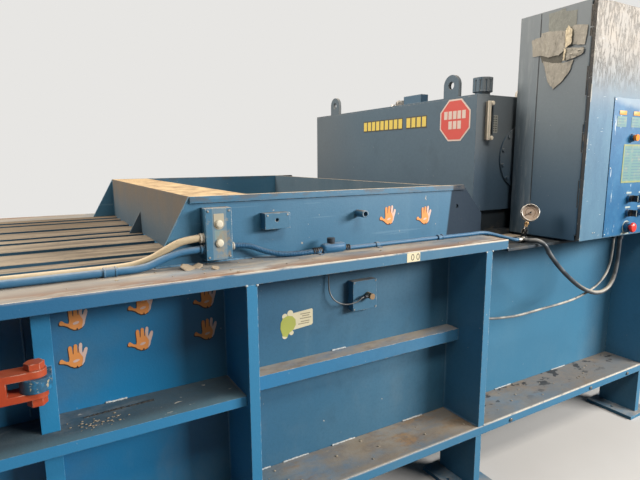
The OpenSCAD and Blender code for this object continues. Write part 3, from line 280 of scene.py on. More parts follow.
def metal(name, colour, rough, streak=(1, 1, 1), dirt=0.3, tint=BROWN):
    f = Finish(name, Metallic=1.0)
    scratch = f.noise(120.0, 2, 0.6, streak)
    spots = f.noise(12.0, 4, 0.65).rise(0.5, 0.7) * dirt
    f.set("Base Color", f.mix(f.mix(colour, tuple(c * 0.7 for c in colour), scratch), tint, spots))
    f.set("Metallic", (1 - spots).at_least(0.2))
    f.set("Roughness", scratch * 0.2 + spots * 0.4 + rough)
    f.bump(scratch, 0.0005, 0.4, f.rounded(0.0015)[0])
    return f.material


def plastic(name, colour, rough, dusty=0.25):
    f = Finish(name)
    film = f.noise(60.0, 4, 0.6).rise(0.45, 0.75) * dusty
    f.set("Base Color", f.mix(colour, DUST, film))
    f.set("Roughness", film * 0.4 + rough)
    f.bump(f.noise(300.0, 1, 0.5), 0.0002, 0.5, f.rounded(0.0012)[0])
    return f.material


def flat_ink(name, colour, worn=0.15, rough=0.5):
    """A printed field on a sticker or plate, faded in places."""
    f = Finish(name)
    fade = f.noise(30.0, 4, 0.65).rise(0.5, 0.75) * worn
    f.set("Base Color",
          f.mix(f.mix(colour, DUST, fade), tuple(c * 0.85 for c in colour), f.noise(8.0, 2) * 0.5))
    f.set("Roughness", fade * 0.3 + rough)
    f.bump(f.noise(220.0, 2), 0.0002, 0.4)
    return f.material


def put(name, shape, finish, smooth=0, body="machine"):
    """Makes a finished piece from a shape; angles above smooth, in degrees, stay sharp."""
    bmesh.ops.recalc_face_normals(shape, faces=shape.faces)
    mesh = bpy.data.meshes.new(name)
    shape.to_mesh(mesh)
    shape.free()
    mesh.materials.append(finish)
    made = bpy.data.objects.new(name, mesh)
    bpy.context.scene.collection.objects.link(made)
    if smooth:
        mesh.shade_smooth()
        mesh.set_sharp_from_angle(angle=math.radians(smooth))
    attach(made, body)
    return made


def turned(centre, axis, spin=0.0):
    """A place whose own Z points along an axis."""
    return (Matrix.Translation(centre) @ Vector(axis).to_track_quat("Z", "Y").to_matrix().to_4x4()
            @ Matrix.Rotation(spin, 4, "Z"))


def each_once(things):
    """The things in their own order without repeats, so that each run is the same."""
    return list(dict.fromkeys(things))


def soften(shape, verts, width):
    """Rounds the sharp edges of the faces at some corners."""
    faces = each_once(face for v in verts for face in v.link_faces)
    edges = each_once(e for face in faces for e in face.edges if e.is_manifold and e.calc_face_angle() > 0.6)
    bmesh.ops.bevel(shape, geom=edges, offset=width, segments=2, profile=0.5, affect="EDGES", material=-1)


def add_block(shape, low, high, edge=0.0):
    """A box between two corners, its edges rounded by edge."""
    low, high = Vector(low), Vector(high)
    place = Matrix.Translation((low + high) / 2) @ Matrix.Diagonal((*(high - low), 1))
    made = bmesh.ops.create_cube(shape, size=1.0, matrix=place)
    if edge:
        soften(shape, made["verts"], edge)


def add_disc(shape, centre, axis, radius, height, sides=24, top=None, edge=0.0, spin=0.0):
    """A round or many-sided piece that stands on centre, along axis."""
    place = turned(centre, axis, spin) @ Matrix.Translation((0, 0, height / 2))
    made = bmesh.ops.create_cone(shape, cap_ends=True, segments=sides, radius1=radius,
                                 radius2=radius if top is None else top, depth=height, matrix=place)
    if edge:
        soften(shape, made["verts"], edge)


def add_screws(shape, columns, y, rows, radius, height, top):
    """Screw heads on an upright face, at each crossing of columns and rows."""
    for x in columns:
        for z in rows:
            add_disc(shape, (x, y, z), FRONT, radius, height, 12, top)


def add_lump(shape, place, radius, stretch, detail=1):
    """A small ball, stretched along X, Y and Z."""
    bmesh.ops.create_icosphere(shape, subdivisions=detail, radius=radius,
                               matrix=Matrix.Translation(place) @ Matrix.Diagonal((*stretch, 1)))


def add_ring(shape, centre, axis, radius, thickness, sides):
    """A round ring about an axis; thickness is the radius of its section."""
    place = turned(centre, axis)
    edge_on = place @ Matrix.Translation((radius, 0, 0)) @ Matrix.Rotation(math.pi / 2, 4, "X")
    start = bmesh.ops.create_circle(shape, segments=8, radius=thickness, matrix=edge_on)
    geometry = start["verts"] + each_once(e for v in start["verts"] for e in v.link_edges)
    bmesh.ops.spin(shape, geom=geometry, cent=place.translation, axis=place.to_3x3() @ Vector((0, 0, 1)),
                   angle=2 * math.pi, steps=sides, use_merge=True)
    bmesh.ops.remove_doubles(shape, verts=shape.verts, dist=1e-6)


def line_object(name, runs, radius, finish, ripple=0.0, sides=2):
    """Round beads or tubes along runs of points, as one curve."""
    line = bpy.data.curves.new(name, "CURVE")
    line.dimensions = "3D"
    line.bevel_depth = radius
    line.bevel_resolution = sides
    line.use_fill_caps = True
    for run in runs:
        spline = line.splines.new("POLY")
        spline.points.add(len(run) - 1)
        for point, place in zip(spline.points, run):
            point.co = (*place, 1)
            point.radius = 1 + ripple * chance.uniform(-1, 1)
    line.materials.append(finish)
    made = bpy.data.objects.new(name, line)
    bpy.context.scene.collection.objects.link(made)
    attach(made, "machine")
    return made


def smooth_route(points, steps):
    """The same smooth curve through listed points that the solids follow."""
    route, last = [], len(points) - 1
    for k in range(last):
        a, b, c, d = (Vector(points[i]) for i in (max(k - 1, 0), k, k + 1, min(k + 2, last)))
        for s in range(steps):
            u = s / steps
            route.append(0.5 * (2 * b + (c - a) * u + (2 * a - 5 * b + 4 * c - d) * u * u
                                + (3 * b - a - 3 * c + d) * u ** 3))
    route.append(Vector(points[last]))
    return [p / 1000 for p in route]


def dress(finish, *names):
    """Gives a finish to CAD nodes."""
    for name in names:
        for material_slot in nodes[name].material_slots:
            material_slot.material = finish


# Camera, lamps and floor
point_camera()
lamp("key_lamp", (4.5, -5.6, 3.2), (0.3, -0.9, 0.9), (3.6, 1.3), 640, (1.0, 0.97, 0.93))
lamp("top_lamp", (-0.9, 1.2, 5.6), (0.0, 0.0, 1.2), (4.0, 4.0), 330, (1.0, 0.86, 0.70))
lamp("left_lamp", (-5.2, 1.8, 4.2), (0.8, -0.3, 1.5), (2.6, 2.6), 320, (1.0, 0.89, 0.77))
lamp("high_lamp", (0.4, -4.4, 5.6), (0.3, -0.9, 0.9), (3.0, 1.2), 170, (1.0, 0.92, 0.82))

world = bpy.data.worlds.new("studio")
bpy.context.scene.world = world
world.use_nodes = True
air = world.node_tree
air.nodes.clear()


def air_node(kind, **settings):
    """A node of the world, with values for its inputs."""
    made = air.nodes.new("ShaderNode" + kind)
    for key, value in settings.items():
        made.inputs[key].default_value = value
    return made


dim_sky = air_node("Background", Color=(0.90, 0.93, 1.0, 1), Strength=0.07)
seen_sky = air_node("Background", Color=(0.80, 0.79, 0.77, 1), Strength=1.0)
rays = air_node("LightPath")
seen_by = air_node("Math")
seen_by.operation = "MAXIMUM"
sky_mix = air_node("MixShader")
for output, socket in ((rays.outputs["Is Camera Ray"], seen_by.inputs[0]),
                       (rays.outputs["Is Transmission Ray"], seen_by.inputs[1]),
                       (seen_by.outputs[0], sky_mix.inputs[0]),
                       (dim_sky.outputs[0], sky_mix.inputs[1]),
                       (seen_sky.outputs[0], sky_mix.inputs[2]),
                       (sky_mix.outputs[0], air_node("OutputWorld").inputs[0])):
    air.links.new(output, socket)
bpy.context.scene.view_settings.view_transform = "Standard"

floor_shape = bmesh.new()
bmesh.ops.create_grid(floor_shape, x_segments=1, y_segments=1, size=30,
                      matrix=Matrix.Translation((0, 0, -0.0005)))
floor_mesh = bpy.data.meshes.new("floor")
floor_shape.to_mesh(floor_mesh)
floor_shape.free()
floor_finish = Finish("floor_grey", Roughness=0.85)
floor_tone = floor_finish.mix((0.53, 0.52, 0.505), (0.60, 0.592, 0.578), floor_finish.noise(2.0, 5))
floor_ray = floor_finish.node("ShaderNodeLightPath", output="Is Camera Ray")
floor_finish.set("Base Color", floor_finish.mix((0.16, 0.155, 0.15), floor_tone, floor_ray))
floor_reach = floor_finish.node("ShaderNodeVectorMath", {"operation": "LENGTH"}, {0: floor_finish.place},
                                output="Value")
floor_finish.set("Alpha", floor_reach.rise(7.5, 3.4))
floor_mesh.materials.append(floor_finish.material)
floor = bpy.data.objects.new("floor", floor_mesh)
bpy.context.scene.collection.objects.link(floor)


# Finishes of the steelwork
def ledge_wear_and_highlight(f):
    """Grey dust, a rusty strip along the front, bare pale metal with a painted highlight on its edge, and a
    bluer lip to the left.
    """
    up = f.top()
    front = f.out.rise(1.02, 1.13) * up
    grey = up * f.noise(5.0, 5, 0.7, (0.25, 1, 1), shift=19.0).rise(0.36, 0.60) * f.out.rise(1.12, 1.04)
    f.over((0.120, 0.150, 0.180), grey * (f.x.rise(0.1, -0.9) * 0.45 + 0.35))
    clouds = f.noise(7.0, 5, 0.7, (0.3, 1, 1), shift=26.0).rise(0.42, 0.62)
    worn = f.mix((0.175, 0.170, 0.165), (0.26, 0.235, 0.20), clouds)
    f.over(worn, up * f.x.rise(-0.75, -1.10) * 0.8)
    rusty = front * f.noise(9.0, 6, 0.7, (0.30, 1.4, 1), shift=6.0).rise(0.42, 0.53)
    f.over(f.mix((0.18, 0.072, 0.030), (0.12, 0.085, 0.060), f.noise(30.0, 3)), rusty * 0.85)
    # bare_and_highlight: worn bare metal and a painted highlight along the front edge
    bare_and_highlight = f.out.rise(1.136, LIP_EDGE) * f.z.rise(1.222, 1.2285)
    f.over((0.66, 0.62, 0.53), bare_and_highlight * f.noise(14.0, 4, 0.6, (0.6, 1, 1)).rise(0.30, 0.52))
    side = (1 - up) * f.x.rise(-0.2, -1.2)
    f.over((0.012, 0.125, 0.285), side * 0.75)


def wall_wear_and_light(f):
    """Richer blue towards the door, where the paint is newer, a chalky haze low down, and painted light on the
    right bay's wall below the ledge.
    """
    newer = f.x.rise(-0.55, -0.80) * f.noise(2.2, 4, 0.6, shift=15.0).rise(0.75, 0.40)
    f.over((0.003, 0.165, 0.365), newer * 0.92)
    haze = f.noise(3.0, 5, 0.7, (1, 1, 0.5), shift=18.0).rise(0.48, 0.70) * f.z.rise(0.9, 0.4)
    f.over((0.14, 0.21, 0.26), haze * 0.3)
    # painted light: the right bay's wall is made lighter and richer below the ledge's shade
    f.over((0.045, 0.220, 0.370), f.x.within(0.9, 1.62, 0.25) * f.z.rise(1.15, 0.95) * 0.45)


def post_wear(f):
    """Richer paint on the posts towards the door, and dark stains with pale specks on the latch's lug."""
    f.over((0.005, 0.205, 0.440), f.x.rise(0.3, -1.2) * 0.75)
    lug = f.y.rise(-1.030, -1.034) * f.z.within(0.90, 1.04, 0.005) * f.x.within(-1.34, -1.10, 0.005)
    f.over((0.020, 0.062, 0.105), lug * f.noise(18.0, 4, 0.7, shift=22.0).rise(0.30, 0.55) * 0.85)
    f.over((0.46, 0.40, 0.26), lug * f.noise(75.0, 3, 0.6, shift=23.0).rise(0.60, 0.66) * 0.8)


def shelf_wear_and_highlight(f):
    """Dark, damp dirt with pale flakes on the left shelves, blue lips and a bare pale edge with a painted
    highlight along it.
    """
    up = f.top()
    left = f.x.rise(-0.58, -0.60)
    damp = f.noise(6.0, 5, 0.7, (0.5, 1, 1), shift=2.0).rise(0.50, 0.68)
    flakes = f.noise(34.0, 3, 0.6, (0.5, 1, 1), shift=6.0).rise(0.66, 0.71)
    dark = f.mix(f.mix((0.030, 0.068, 0.095), (0.12, 0.145, 0.160), damp), (0.42, 0.40, 0.35), flakes)
    f.over(dark, up * left * 0.92)
    f.over((0.110, 0.215, 0.270), up * left * f.out.rise(1.04, 1.11) * 0.7)
    blue = f.mix(f.tone, (0.018, 0.205, 0.430), f.x.rise(0.4, -1.0) * 0.75)
    # bare worn metal and a painted highlight along the front edge
    bare_and_highlight = f.out.rise(1.132, LIP_EDGE) * f.z.rise(0.780, 0.7855)
    pale = bare_and_highlight * f.noise(16.0, 4, 0.6).rise(0.30, 0.48) * 0.75
    f.tone = f.mix(f.mix(blue, f.tone, up), (0.40, 0.46, 0.47), pale)


def rail_wear_and_highlight(f):
    """Grey-blue worn tops with brown dirt, oil stains at the right, and a bare pale edge with a painted
    highlight along it, stronger to the right.
    """
    up = f.top()
    dirt = up * f.noise(2.3, 6, 0.7, (0.6, 1.4, 1), shift=12.0).rise(0.47, 0.58)
    f.over(f.mix((0.30, 0.175, 0.075), BROWN, f.noise(26.0, 4).rise(0.4, 0.6)), dirt * 0.8)
    sandy = f.noise(4.0, 5, 0.7, shift=16.0).rise(0.30, 0.62) * f.x.rise(-0.50, -0.30)
    f.over((0.225, 0.160, 0.090), up * sandy * 0.5)
    f.over((0.055, 0.130, 0.185), up * f.x.rise(-0.30, -0.50) * 0.75)
    right = up * f.x.rise(0.45, 0.75)
    f.over((0.165, 0.180, 0.190), right * f.noise(3.0, 5, 0.7, shift=24.0).rise(0.30, 0.55) * 0.65)
    oil = f.noise(13.0, 3, 0.6, (0.7, 1, 1), shift=25.0).rise(0.56, 0.61) * f.out.rise(1.12, 0.98)
    f.over((0.016, 0.018, 0.022), right * oil * 0.85)
    # bare worn metal and a painted highlight along the front edge, stronger to the right
    bare_and_highlight = f.out.rise(1.130, LIP_EDGE) * f.z.rise(0.334, 0.3410) * (f.x.rise(0.5, 0.8) * 0.55 + 0.45)
    f.over((0.68, 0.63, 0.54), bare_and_highlight * f.noise(12.0, 4, 0.6).rise(0.26, 0.44))


def slat_wear_and_shade(f):
    """Rubbed tops, streaked along the machine, over blue sides darkened with painted shade, as in the slots
    between the slats.
    """
    up = f.top()
    along = f.noise(16.0, 5, 0.7, (0.12, 1, 1), shift=3.0)
    patches = f.noise(60.0, 4, 0.7, (0.3, 1, 1), shift=5.0)
    worn = f.mix((0.200, 0.165, 0.120), (0.070, 0.056, 0.040), along.rise(0.40, 0.62))
    worn = f.mix(worn, (0.045, 0.040, 0.034), patches.rise(0.54, 0.66) * 0.8)
    worn = f.mix(worn, (0.31, 0.275, 0.215), f.x.rise(-1.0, -1.6) * 0.55)
    worn = f.mix(worn, (0.070, 0.046, 0.022), f.y.rise(-0.2, 0.7) * 0.7)
    # painted shade: every face but the tops is darkened, as in the slots between the slats
    f.over((0.010, 0.030, 0.048), (1 - up) * 0.55)
    f.over(worn, up * 0.95)
    f.rough = (f.rough + up * 0.2).at_most(0.9)


def hopper_wear_and_shadow(f):
    """Long scuffs, small chips down to pale primer and rust, a grimy rim, and a painted shadow that darkens
    the right-hand end and the dust on the rim above it.
    """
    scuffs = f.noise(26.0, 2, 0.5, (0.08, 1, 1.6), shift=8.0).rise(0.66, 0.70)
    f.over((0.16, 0.29, 0.40), scuffs * 0.35)
    chips = f.noise(30.0, 2, 0.5, shift=21.0).rise(0.735, 0.755)
    f.over(f.mix((0.50, 0.33, 0.16), PALE, f.noise(9.0)), chips * 0.8)
    f.over((0.018, 0.125, 0.245), f.y.rise(-0.90, -0.91) * 0.28)
    # painted shadow: a slanted-edged dark field over the right-hand end, which also thins the rim's dust
    painted_shadow = (f.x - f.z * 0.12).rise(0.372, 0.384)
    f.over((0.000, 0.013, 0.032), painted_shadow * 0.97)
    rim = f.z.rise(1.440, 1.466) * f.noise(30.0, 4, 0.7, (0.3, 1, 1)).rise(0.46, 0.60)
    f.over((0.105, 0.095, 0.085), rim * 0.6)
    up = f.top()
    dusty_rim = up * f.z.rise(1.464, 1.469) * (1 - painted_shadow * 0.6) * f.y.rise(0.6, -0.6)
    f.over((0.52, 0.43, 0.30), dusty_rim * 0.9)
    f.rough = (f.rough + painted_shadow * 0.3).at_most(0.9)


def end_wall_wear(f):
    """A thick brown crust on the flange, and dust that fades down the outer wall to a darker foot."""
    up = f.top()
    caked = f.noise(18.0, 6, 0.7, shift=2.0).rise(0.38, 0.66)
    crust = f.mix((0.50, 0.385, 0.225), (0.23, 0.155, 0.090), caked)
    f.over(crust, up * 0.95)
    outer = f.x.rise(-0.698, -0.701)
    dusty = outer * f.noise(8.0, 4, 0.6, (1, 1, 0.4)).rise(-0.10, 0.75)
    f.over((0.20, 0.150, 0.098), dusty * f.z.rise(1.24, 1.46) * 0.80)
    f.over((0.045, 0.085, 0.130), outer * f.z.rise(1.34, 1.22) * (1 - up) * 0.6)
    f.rough = (f.rough + up * 0.3).at_most(0.95)


def tank_wear_and_light(f):
    """Painted light on the upper near face, a warm tint painted as warm light on the far end, and colour that
    is darker and bluer low down, most on the near face.
    """
    near = f.facing()[1].rise(-0.5, -0.8)
    # painted light: the upper part of the near face is made paler
    f.over((0.185, 0.200, 0.205), near * f.z.rise(1.45, 1.75) * 0.65)
    # painted light: a warm tint on the far end
    f.over((0.15, 0.135, 0.115), f.y.rise(0.0, 0.8) * 0.30)
    f.over((0.034, 0.066, 0.108), f.z.rise(1.70, 1.35) * (0.30 + 0.35 * near))


def deck_grime_and_shade(f):
    """Grime mixed with painted shadow of the cabinet under the tank and beside the cabinet, and a dusty strip
    in front of the tank.
    """
    cloud = f.noise(9.0, 5, 0.7, shift=9.0).rise(0.48, 0.68)
    # grime and painted shadow of the cabinet over the deck behind its front strip
    f.over(f.mix((0.020, 0.026, 0.032), (0.085, 0.072, 0.056), cloud), f.y.rise(-1.20, -1.10) * 0.9)
    strip = f.y.within(-0.92, -0.80, 0.015) * f.z.within(1.15, 1.19, 0.005) * f.top()
    f.over((0.56, 0.47, 0.36), strip * f.noise(16.0, 4, 0.7, (0.4, 1, 1), shift=3.0).rise(0.30, 0.50) * 0.9)


def cabinet_left_wear_and_light(f):
    """Upright scrapes on the strip behind the seam, painted light making the upper half paler, and painted
    shade making the lower one darker, most by the door's edge.
    """
    scrapes = f.noise(40.0, 4, 0.7, (1, 1, 0.10), shift=4.0).rise(0.48, 0.66)
    strip = f.y.rise(-0.962, -0.955) * f.x.rise(1.10, 1.073)
    f.over((0.085, 0.135, 0.190), strip * 0.45)
    f.over((0.24, 0.29, 0.33), scrapes * strip * 0.55)
    # painted light: the upper half of the face is made paler
    f.over((0.20, 0.235, 0.265), f.z.rise(1.35, 2.3) * 0.65)
    # painted shade: the lower part is made darker, most by the door's edge
    door_edge = f.y.rise(-0.957, -0.962)
    f.over((0.016, 0.060, 0.118), f.z.rise(1.85, 1.25) * (door_edge * 0.62 + 0.32))


def cabinet_front_wear_and_shade(f):
    """Chalky, rubbed paint, nearly white and finely creased at the top, with chips along the hinge edge, and
    painted shade making its left-facing side near black.
    """
    chalk = f.noise(6.0, 6, 0.72, (1, 1, 0.35), shift=14.0).rise(0.30, 0.72)
    f.over((0.105, 0.235, 0.335), chalk * 0.50)
    bleached = f.z.rise(1.75, 2.15) * (0.55 + 0.35 * f.noise(12.0, 5, 0.7)).at_most(1.0)
    f.over((0.41, 0.335, 0.250), bleached)
    hinge_side = f.x.rise(1.084, 1.074) * f.noise(16.0, 4, 0.7, (1, 1, 0.5)).rise(0.52, 0.62)
    f.over((0.50, 0.46, 0.38), hinge_side * 0.7)
    # painted shade: faces that look left, in the gap by the hinge, are made near black
    f.over((0.010, 0.013, 0.017), f.facing()[0].rise(-0.5, -0.8) * 0.95)
    lines = f.noise(24.0, 2, 0.5, (1, 1, 6), shift=31.0).rise(0.70, 0.73)
    f.over((0.50, 0.58, 0.63), lines * 0.6)
    high = f.z.rise(1.86, 2.02)
    folds = f.noise(19.0, 5, 0.72, (1.6, 1, 0.40), shift=40.0).far_from(0.5).rise(0.045, 0.006) * high
    f.over((0.155, 0.150, 0.140), folds * 0.62)
    f.height = f.height + folds * -2.5


def control_plate_wear(f):
    """Strong blue, rubbed by hands, hazed white at the top."""
    haze = f.noise(9.0, 5, 0.7, shift=3.0).rise(0.40, 0.75)
    f.over((0.055, 0.215, 0.385), haze * 0.50)
    f.over((0.26, 0.33, 0.38), (f.z + f.x * 0.12 + f.noise(5.0, 3) * 0.08).rise(2.03, 2.07) * 0.7)
    marks = f.noise(22.0, 3, 0.6, (3, 1, 0.5), shift=17.0).rise(0.66, 0.70)
    f.over((0.62, 0.70, 0.74), marks * 0.7)


orange_paint = worn_paint("latch_orange", (0.39, 0.044, 0.012), (0.48, 0.105, 0.040), dust=0.25, rust=0.8,
                          edge=0.8,
                          haze=0.5, dust_colour=(0.36, 0.22, 0.14))
pipe_dust = worn_paint("dusty_conduit", (0.45, 0.365, 0.235), (0.52, 0.44, 0.32), dust=0.5, edge=0.0,
                       dust_colour=(0.56, 0.48, 0.37))
# its grey dust on the top faces is partly dust and partly a painted highlight along the tops
pipe_blue = worn_paint("blue_conduit", (0.018, 0.115, 0.240), (0.090, 0.20, 0.31), dust=0.35, edge=0.0,
                       haze=0.5,
                       dust_colour=(0.40, 0.39, 0.36))
steel = metal("bare_steel", (0.46, 0.45, 0.43), 0.32, dirt=0.5)
rod_chrome = metal("rod_chrome", (0.72, 0.72, 0.72), 0.12, (0.1, 1, 1), 0.1)
bright = metal("bright_fitting", (0.74, 0.72, 0.68), 0.26, dirt=0.25, tint=(0.25, 0.23, 0.2))
brass = metal("old_brass", (0.72, 0.47, 0.24), 0.32, dirt=0.3)
pale_disc = plastic("pale_plug", (0.66, 0.62, 0.50), 0.45, 0.3)
pale_panel = plastic("inner_panel", (0.62, 0.60, 0.54), 0.5, 0.1)
rubber = plastic("rubber_black", (0.020, 0.021, 0.023), 0.55, 0.3)
weld_paint = worn_paint("weld_blue", (0.070, 0.200, 0.330), (0.20, 0.33, 0.44), dust=0.3, edge=0.0, haze=0.8)
pale_weld = worn_paint("pale_weld", (0.40, 0.45, 0.48), (0.62, 0.61, 0.57), dust=0.4, edge=0.0, haze=0.8)

dress(worn_paint("bay_wall_blue", (0.034, 0.128, 0.222), (0.085, 0.190, 0.275), haze=0.45, edge=0.2,
                 extra=wall_wear_and_light), "side_walls", "rear_plate", "bale_door", "door_header", "shear_beam",
                 "floor_frame")
dress(worn_paint("post_blue", (0.052, 0.200, 0.345), haze=0.50, edge=0.95, extra=post_wear), "side_posts",
      "latch_post", "legs", "door_frame", "hinge_brackets", "latch_keeper")
dress(worn_paint("ledge_blue", (0.048, 0.160, 0.275), dust=0.95, rust=0.5, edge=0.8,
                 dust_colour=(0.44, 0.385, 0.305), grain=(0.4, 1, 1), extra=ledge_wear_and_highlight), "side_ledges")
dress(worn_paint("rail_blue", (0.046, 0.185, 0.330), dust=0.8, rust=0.5, edge=0.9,
                 dust_colour=(0.32, 0.255, 0.175), grain=(0.6, 1, 1), extra=rail_wear_and_highlight), "side_rails")
dress(worn_paint("shelf_blue", (0.038, 0.165, 0.315), dust=0.95, rust=0.7, edge=0.9,
                 dust_colour=(0.34, 0.285, 0.22), grain=(0.5, 1, 1), extra=shelf_wear_and_highlight), "side_shelves")
# the deck's dark colours are partly painted shadow of the cabinet
dress(worn_paint("deck_grime_and_shade_blue", (0.030, 0.060, 0.090), (0.05, 0.08, 0.11), dust=0.4, edge=0.3,
                 dust_colour=(0.09, 0.08, 0.065), extra=deck_grime_and_shade), "top_plate", "tank_base")
dress(worn_paint("slat_tan", dust=0.5, extra=slat_wear_and_shade), "deck_slats")
dress(worn_paint("hopper_blue", haze=0.4, edge=0.9, extra=hopper_wear_and_shadow), "hopper_sides")
dress(worn_paint("end_wall_grey", (0.070, 0.120, 0.165), (0.16, 0.19, 0.22), extra=end_wall_wear),
      "hopper_end_walls")
dress(worn_paint("dark_blue", DEEP_BLUE, BLUE, haze=0.4), "ram_body", "cylinder_barrel", "motor", "pump")
dress(worn_paint("tank_blue", (0.072, 0.125, 0.180), (0.10, 0.155, 0.205), dust=0.5, edge=0.35, haze=0.35,
                 rough=0.5, extra=tank_wear_and_light), "tank", "tank_lid", "cleanout_cover", "filler_cap")
dress(worn_paint("cabinet_side_blue", (0.080, 0.130, 0.175), (0.115, 0.165, 0.210), edge=0.3, haze=0.3,
                 rough=0.5, extra=cabinet_left_wear_and_light), "cabinet_shell")
dress(worn_paint("cabinet_front_blue", (0.042, 0.130, 0.225), (0.085, 0.185, 0.27), edge=0.35, haze=0.5,
                 rough=0.5, extra=cabinet_front_wear_and_shade), "cabinet_door")
dress(worn_paint("control_plate_blue", (0.007, 0.108, 0.255), (0.045, 0.17, 0.32), edge=0.6, haze=0.4,
                 rough=0.38, extra=control_plate_wear), "control_plate")
dress(orange_paint, "latch_bolt", "latch_fork", "latch_sleeve", "latch_head")
dress(steel, "shear_blade", "guide_strips", "ram_knife", "cylinder_gland", "cylinder_pin", "latch_rod",
      "motor_rotor", "cabinet_hinge_pin")
dress(rod_chrome, "piston_rod")
dress(plastic("black_plastic", (0.016, 0.016, 0.018), 0.38), "cabinet_handle", "selector_upper",
      "selector_lower", "gauge_needle")
dress(rubber, "door_gasket")
dress(plastic("amber_lens", (0.95, 0.27, 0.03), 0.25, 0.05), "amber_button")
dress(plastic("red_button", (0.80, 0.045, 0.035), 0.30, 0.1), "stop_button")
dress(pale_panel, "cabinet_panel")


# Finishes of the nodes that hold small things of several kinds
def plug_faces(f):
    """The station box: pale plugs, a small teal mark, and rubbed, dirty paint on its cover."""
    plugs = f.y.rise(-0.9695, -0.9715) * f.x.within(-0.64, -0.59, 0.002)
    face = f.y.rise(-0.9680, -0.9699) * f.x.within(-0.70, -0.55, 0.01)
    teal = face * f.x.within(-0.632, -0.603, 0.003) * f.z.within(1.322, 1.352, 0.004)
    f.over((0.10, 0.24, 0.27), teal * 0.8)
    rub = f.x.within(-0.625, -0.580, 0.008) * f.z.within(1.262, 1.345, 0.012)
    rub = rub * f.noise(26.0, 5, 0.7, shift=6.0).rise(0.40, 0.58)
    f.over((0.23, 0.19, 0.13), face * rub * 0.8)
    f.over((0.26, 0.24, 0.20), face * f.noise(30.0, 4, 0.7, shift=2.0).rise(0.56, 0.66) * 0.5)
    f.over((0.62, 0.58, 0.45), plugs * 0.9)


def fitting_faces(f):
    """The tank's fittings: pale valve block and dome, dark level gauge with a cream strip."""
    silver = f.y.rise(-0.205, -0.195) * f.z.rise(1.90, 1.92)
    dome = f.x.rise(1.15, 1.17) * f.z.rise(1.90, 1.92)
    f.over((0.55, 0.53, 0.49), (silver + dome).at_most(1.0) * 0.9)
    gauge = f.y.rise(-0.809, -0.811) * f.z.rise(1.68, 1.69)
    f.over((0.060, 0.068, 0.072), gauge * 0.9)
    f.over((0.62, 0.56, 0.45), gauge * f.x.rise(0.889, 0.887) * 0.9)


def conduit_fitting_faces(f):
    """Pale connectors at the station box, dark couplings, and a brass plug on the sensor box."""
    ends = (f.x.within(-0.700, -0.660, 0.002) * f.z.rise(1.304, 1.306)
            + f.x.within(-0.572, -0.55, 0.002) * f.z.rise(1.26, 1.27)).at_most(1.0)
    brass_plug = f.x.within(0.024, 0.054, 0.001) * f.z.within(1.0, 1.04, 0.001)
    dark = ((f.z.rise(1.215, 1.205) * f.x.rise(-0.2, -0.18)).at_most(1.0)
            + f.x.within(-0.18, -0.14, 0.002) * f.z.rise(1.262, 1.266)).at_most(1.0)
    f.over((0.56, 0.52, 0.43), ends * 0.85)
    f.over((0.022, 0.024, 0.028), dark * 0.9)
    f.over((0.36, 0.235, 0.125), brass_plug * 0.95)


gauge_metal = Finish("gauge_metal", Metallic=1.0)
gauge_low = gauge_metal.z.rise(1.268, 1.258)
# darker stains on the pale metal above, and pale spots painted as glints on the black metal below
gauge_stains_and_glints = gauge_metal.noise(55.0, 3, 0.6).rise(0.50, 0.58)
gauge_pale = gauge_metal.mix((0.70, 0.66, 0.60), (0.42, 0.36, 0.30), gauge_stains_and_glints)
gauge_dark = gauge_metal.mix((0.045, 0.048, 0.052), (0.62, 0.60, 0.56), gauge_stains_and_glints)
gauge_metal.set("Base Color", gauge_metal.mix(gauge_pale, gauge_dark, gauge_low))
gauge_metal.set("Roughness", gauge_stains_and_glints * 0.15 + 0.28)
gauge_metal.bump(gauge_metal.noise(150.0, 2), 0.0004, 0.5, gauge_metal.rounded(0.0012)[0])
dress(gauge_metal.material, "pressure_gauge")
dress(worn_paint("wall_box_blue", edge=0.9, extra=plug_faces), "wall_boxes")
dress(worn_paint("tank_fitting_blue", (0.06, 0.13, 0.21), (0.10, 0.17, 0.24), extra=fitting_faces),
      "tank_fittings")
dress(worn_paint("conduit_fitting_blue", (0.026, 0.125, 0.245), dust=0.5, edge=0.3,
                 extra=conduit_fitting_faces),
      "conduit_fittings")


# Cords and conduits, along the same points as their solids
tan_points = [(-664.5, -942, 1326), (-680, -942, 1326), (-692, -942, 1326), (-747, -938, 1317),
              (-797, -932, 1293), (-846, -921, 1266), (-905, -906, 1248), (-987, -900, 1243.5),
              (-1119, -900, 1243.5), (-1400, -900, 1243.5), (-1720, -900, 1243.5)]
blue_points = [(-664.5, -942, 1286), (-680, -942, 1286), (-692, -942, 1286), (-750, -943, 1282),
               (-803, -948, 1268), (-854, -952, 1250), (-895, -956, 1244), (-930, -958, 1243.5),
               (-955, -958, 1243.5), (-1122, -958, 1243.5), (-1400, -958, 1243.5), (-1720, -958, 1243.5)]
right_points = [(-569.5, -942, 1288), (-555, -942, 1288), (-545, -942, 1288), (-493, -945, 1281),
                (-438, -955, 1259), (-381, -966, 1244), (-320, -973, 1239.5), (-240, -975, 1239.5),
                (-205, -975, 1239.5), (0, -975, 1239.5), (300, -975, 1239.5), (450, -975, 1239.5),
                (600, -978, 1239.5), (706, -985, 1239.5), (780, -1015, 1222), (835, -1055, 1205),
                (860, -1060, 1203), (881.5, -1060, 1203)]
hose_points = [(897, -1075.5, 1200), (897, -1105, 1201), (900, -1140, 1204), (915, -1169, 1187),
               (957, -1174, 1135), (1031, -1180, 1064), (1109, -1186, 1003), (1193, -1190, 949),
               (1280, -1191, 912), (1340, -1192, 898), (1400, -1192, 898), (1455, -1192, 920),
               (1490, -1192, 970), (1507, -1192, 1043), (1511, -1192, 1120), (1511, -1192, 1176)]
